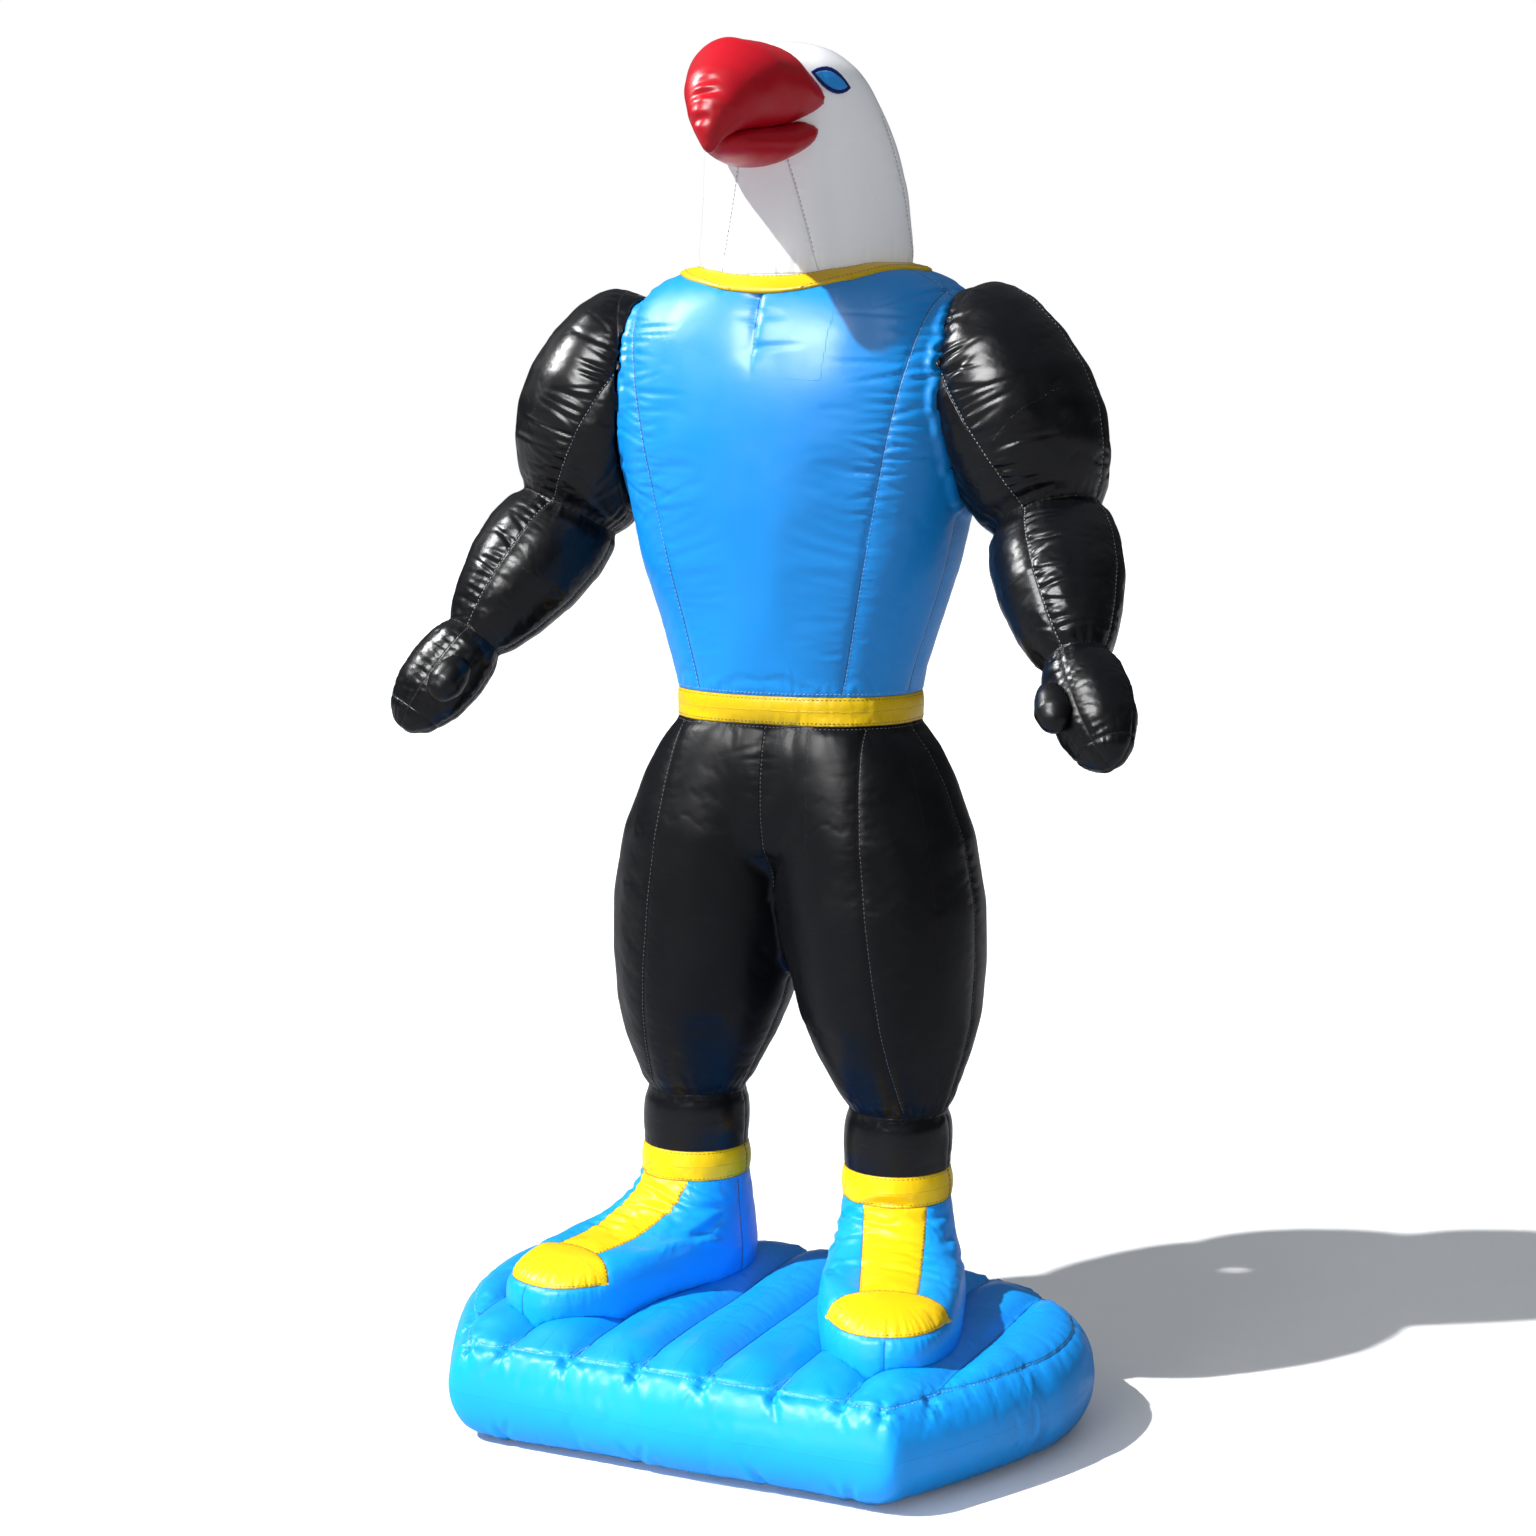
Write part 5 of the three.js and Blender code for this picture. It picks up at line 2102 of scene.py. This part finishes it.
@dataclass(frozen=True)
class EdgeSeam(Seam):
    """A seam round the plinth's outline: above its height the distance is measured inwards."""

    outline: Outline = ()
    lie: Lie = Lie.ROUND
    inwards: bool = True

    def measure(self, points: Array) -> Tuple[Array, Array]:
        """Finds where points lie beside the seam.

        Args:
            points: The points to measure.

        Returns:
            How far round the outline each point lies, and its distance inwards or below the seam.
        """
        runs = run_of(np.array(self.outline))
        nearest, away = nearest_on(np.array(self.outline), points)
        rise = points[:, 2] - self.at[2]
        return runs[nearest], np.where((rise > 0) & self.inwards, np.hypot(away, rise), rise)

    def length(self) -> Optional[float]:
        """The way round the outline."""
        return float(run_of(np.array((*self.outline, self.outline[0])))[-1])


@dataclass(frozen=True)
class Channels(Relief):
    """The round tubes between the plinth's channel seams."""

    pitch: float
    depth: float
    outline: Outline
    low: float

    def heights(self, skin: Skin) -> Array:
        """Finds how far the tubes swell each point outwards.

        Args:
            skin: The skin.

        Returns:
            One height for each point.
        """
        points = skin.points
        away = nearest_on(np.array(self.outline), points)[1]
        wave = np.sqrt(np.abs(np.cos(points[:, 0] * math.pi / self.pitch)))
        level = smooth(0.3, 0.8, skin.normals()[:, 2]) * smooth(0.008, 0.075, away)
        return self.depth * (wave - 0.72) * (level * (points[:, 2] > self.low))


@dataclass
class Plinth:
    """The inflated base with its sewn channels."""

    cell: float = 0.0104
    spread: float = 0.027
    pitch: float = 0.125
    half: float = 0.5625
    seam: float = 0.178
    front: float = -0.375
    front_half: float = 0.3875
    slant: float = 1.82
    back: float = 0.375
    back_round: float = 0.645
    foot_seam: float = 0.012
    tube_depth: float = 0.008
    tube_low: float = 0.160
    easing: int = 420

    def edges(self, x: float) -> Tuple[float, float]:
        """The front and back edge of the top seam at a distance from the middle."""
        front = self.front + self.slant * max(abs(x) - self.front_half, 0.0)
        return front, self.back * (1 - (abs(x) / self.back_round) ** 4)

    def outline(self) -> Outline:
        """Draws the top seam's line.

        Returns:
            Its places in plan, a few millimetres apart.
        """
        across = np.linspace(-self.half, self.half, 260)
        start, end = self.edges(self.half)
        side = np.linspace(start, end, 48)[1:-1]
        line = [(x, self.edges(x)[0]) for x in across] + [(self.half, y) for y in side]
        line += [(x, self.edges(x)[1]) for x in across[::-1]] + [(-self.half, y) for y in side[::-1]]
        return tuple((float(x), float(y)) for x, y in line)

    def rounded(self, line: Array) -> Array:
        """Eases the outline's side corners round, as the air pushes them.

        Args:
            line: The outline's places.

        Returns:
            The eased places.
        """
        eased = line.copy()
        sharp = smooth(0.0, 0.10, np.hypot(np.abs(line[:, 0]) - self.front_half, line[:, 1] - self.front))
        sharp = sharp[:, None] * smooth(0.30, 0.44, np.abs(line[:, 0]))[:, None]
        for _ in range(self.easing):
            eased += 0.5 * sharp * ((np.roll(eased, 1, axis=0) + np.roll(eased, -1, axis=0)) / 2 - eased)
        return eased

    def reliefs(self) -> List[Relief]:
        """Lists the reliefs of the plinth's skin.

        Returns:
            Seams, tubes, dimples and waves.
        """
        top = Gather(0.0042, (0.007, 0.008), 0.0017, 0.034, 0.060, 0.0075, (0.8, 1.0))
        foot = Gather(0.0030, (0.006, 0.006), 0.0022, 0.044, 0.040, 0.0075)
        channel = Gather(0.0060, (0.012, 0.012), 0.0008, 0.030, 0.030)
        outline = tuple(map(tuple, self.rounded(np.array(self.outline()))))
        lines = [self.pitch * (index - 3.5) for index in range(8)]
        ends = [(x, y, self.seam) for x in lines for y in self.edges(x)]
        corners = [(x, self.front, self.seam) for x in (-self.front_half, self.front_half)]
        kinks = tuple((x, self.front, 0.0) for x in (-0.31, -0.06, 0.17, 0.33))
        reliefs: List[Relief] = [
            EdgeSeam((0.0, 0.0, self.seam), UP, UP, top, 131, rows=(-0.004,), outline=outline,
                     tucks=tuple(ends + corners), tuck=(0.0072, 0.062)),
            EdgeSeam((0.0, 0.0, self.foot_seam), UP, UP, foot, 132, rows=(0.004,), outline=outline,
                     inwards=False, tucks=kinks),
            Channels(self.pitch, self.tube_depth, outline, self.tube_low),
            Unevenness(0.0013, 0.24, 133),
        ]
        for index, x in enumerate(lines):
            front, back = self.edges(x)
            spans = (over(0.168, 0.01), Span((0.0, front + 0.02, 0.0), BACK, 0.03),
                     Span((0.0, back - 0.02, 0.0), AHEAD, 0.03))
            reliefs.append(Seam((x, 0.0, 0.0), LEFT, BACK, channel, 140 + index, spans, rows=()))
        for index, place in enumerate(ends + corners):
            depth = 0.0045 if index < len(ends) else 0.007
            facing = (0.0, math.copysign(0.7, place[1]), 0.7)
            reliefs.append(Pinch(place, facing, 0.020, depth, 5, 150 + index))
        return reliefs

    def build(self) -> BVHTree:
        """Makes the plinth.

        Returns:
            A search tree over it, for what stands on it.
        """
        reliefs = self.reliefs()
        blank = blank_of(["plinth"], self.cell, self.spread)
        line = np.array(self.outline())
        shift = self.rounded(line) - line
        nearest, away = nearest_on(line, blank.points)
        inside = away * (np.abs(blank.points[:, 0]) < self.half) * (blank.points[:, 2] > self.seam - 0.01)
        blank.points[:, :2] += shift[nearest] * (1 - smooth(0.0, 0.20, inside))[:, None]
        skin = Air(spare=0.003).fill(blank, reliefs).refined().dressed(reliefs)
        skin.points[:, 2] = np.maximum(skin.points[:, 2], 0.0)
        stitches = Stitching(seed=181)
        stitches.sew(skin, reliefs)
        present(skin.to_object("plinth_skin"), BLUE, "plinth", reliefs)
        present_stitches(stitches, "plinth_stitching", SKY)
        return skin.tree()


# Studio


@dataclass
class Studio:
    """The camera at the photograph's angle, soft lights and a pale floor that throws little light back.

    The cards give the gloss and nothing else, so that it lies where the photograph has it.
    """

    eye: Vec = (1.947, -4.242, 1.769)
    aim: Vec = (-0.209, 0.490, 1.079)
    focal: float = 63.51
    sun_from: Vec = (-0.46, -0.48, 0.75)
    sun_strength: float = 6.3
    sun_angle: float = math.radians(1.2)
    low_spread: float = math.radians(50.0)
    card_aim: Vec = (-0.1, 0.05, 1.75)
    floor_size: float = 60.0

    def build(self) -> None:
        """Sets up the camera, the lights, the surroundings and the floor."""
        camera = bpy.data.cameras.new("camera")
        camera.lens = self.focal
        camera.sensor_width = 36.0
        holder = new_object("camera", camera)
        self.point(holder, self.eye, self.aim)
        bpy.context.scene.camera = holder
        self.sun()
        self.light("fill", (3.6, -4.6, 3.2), (0.0, 0.1, 1.2), (3.2, 3.2), 8.0)
        low = self.light("low_fill", (-0.3, -2.6, 0.30), (0.05, -0.35, 0.10), (1.8, 0.4), 7.0)
        low.data.spread = self.low_spread
        low.visible_glossy = False
        for name, at, size, power in (("front_card", (-0.57, -3.43, 3.78), (2.0, 1.3), 380.0),
                                      ("side_card", (-3.4, -0.9, 4.1), (1.5, 1.1), 320.0)):
            self.light(name, at, self.card_aim, size, power).visible_diffuse = False
        self.surroundings()
        self.floor()

    def point(self, obj: Object, at: Vec, towards: Vec) -> None:
        """Places an object so that it looks at a point."""
        obj.location = at
        obj.rotation_euler = (Vector(towards) - Vector(at)).to_track_quat("-Z", "Y").to_euler()

    def sun(self) -> None:
        """Sets the key light, high up to the figure's right and in front of it."""
        lamp = bpy.data.lights.new("key", "SUN")
        lamp.energy = self.sun_strength
        lamp.angle = self.sun_angle
        holder = new_object("key", lamp)
        holder.visible_glossy = False
        self.point(holder, self.sun_from, MIDDLE)

    def light(self, name: str, at: Vec, towards: Vec, size: Tuple[float, float],
              power: float) -> Object:
        """Hangs one soft light.

        Args:
            name: The light's name.
            at: Its place.
            towards: What it looks at.
            size: Its width and height.
            power: Its power in watts.

        Returns:
            The light's holder.
        """
        lamp = bpy.data.lights.new(name, "AREA")
        lamp.shape = "RECTANGLE"
        lamp.size, lamp.size_y = size
        lamp.energy = power
        holder = new_object(name, lamp)
        self.point(holder, at, towards)
        return holder

    def surroundings(self) -> None:
        """A pale sky, brighter overhead, that looks white to the camera and dim in the gloss."""
        world = bpy.data.worlds.new("pale_room")
        world.use_nodes = True
        bpy.context.scene.world = world
        net = Net(world.node_tree)
        plain = world.node_tree.nodes["Background"]
        place = net.add("ShaderNodeSeparateXYZ")
        net.put(net.add("ShaderNodeTexCoord").outputs["Generated"], place.inputs[0])
        path = net.add("ShaderNodeLightPath")
        dimmed = net.ramp(path.outputs["Is Glossy Ray"], 0.0, 1.0, 1.0, 0.5)
        sky = net.ramp(place.outputs[2], 0.0, 0.9, 0.07, 0.48)
        net.put(net.math("MULTIPLY", sky, dimmed), plain.inputs["Strength"])
        net.put((0.90, 0.95, 1.0, 1.0), plain.inputs["Color"])
        seen = net.add("ShaderNodeBackground")
        net.put((1.0, 1.0, 1.0, 1.0), seen.inputs["Color"])
        mix = net.add("ShaderNodeMixShader")
        shares = (path.outputs["Is Camera Ray"], plain.outputs[0], seen.outputs[0])
        for value, socket in zip(shares, mix.inputs):
            net.put(value, socket)
        net.put(mix.outputs[0], world.node_tree.nodes["World Output"].inputs["Surface"])
        bpy.context.scene.view_settings.view_transform = "Standard"

    def floor(self) -> None:
        """A pale floor that runs out of sight."""
        deselect()
        bpy.ops.mesh.primitive_plane_add(size=self.floor_size, location=MIDDLE)
        obj = bpy.context.object
        obj.name = "floor"
        material, net, shader = start_material("pale_floor")
        net.put(0.85, shader.inputs["Roughness"])
        place = net.add("ShaderNodeTexCoord").outputs["Object"]
        shade = net.ramp(net.noise(place, scale=1.7, detail=3.0), 0.3, 0.7)
        pale = net.mix(shade, (0.86, 0.86, 0.865, 1.0), (0.90, 0.90, 0.90, 1.0))
        seen = net.add("ShaderNodeLightPath").outputs["Is Camera Ray"]
        net.put(net.mix(seen, (0.34, 0.34, 0.35, 1.0), pale), shader.inputs["Base Color"])
        obj.data.materials.append(material)


def main() -> None:
    """Builds the studio and then the figure, from the plinth up."""
    logging.basicConfig(level=logging.INFO, format="%(message)s")
    deselect()
    Studio().build()
    plinth = Plinth().build()
    Legs().build(plinth)
    blanks = Arm(Side.LEFT).make_blanks()
    arm = Arm(Side.LEFT).build(blanks)
    Arm(Side.RIGHT).build(blanks)
    vest = Trunk().build(arm)
    Head().build(vest)


if __name__ == "__main__":
    main()
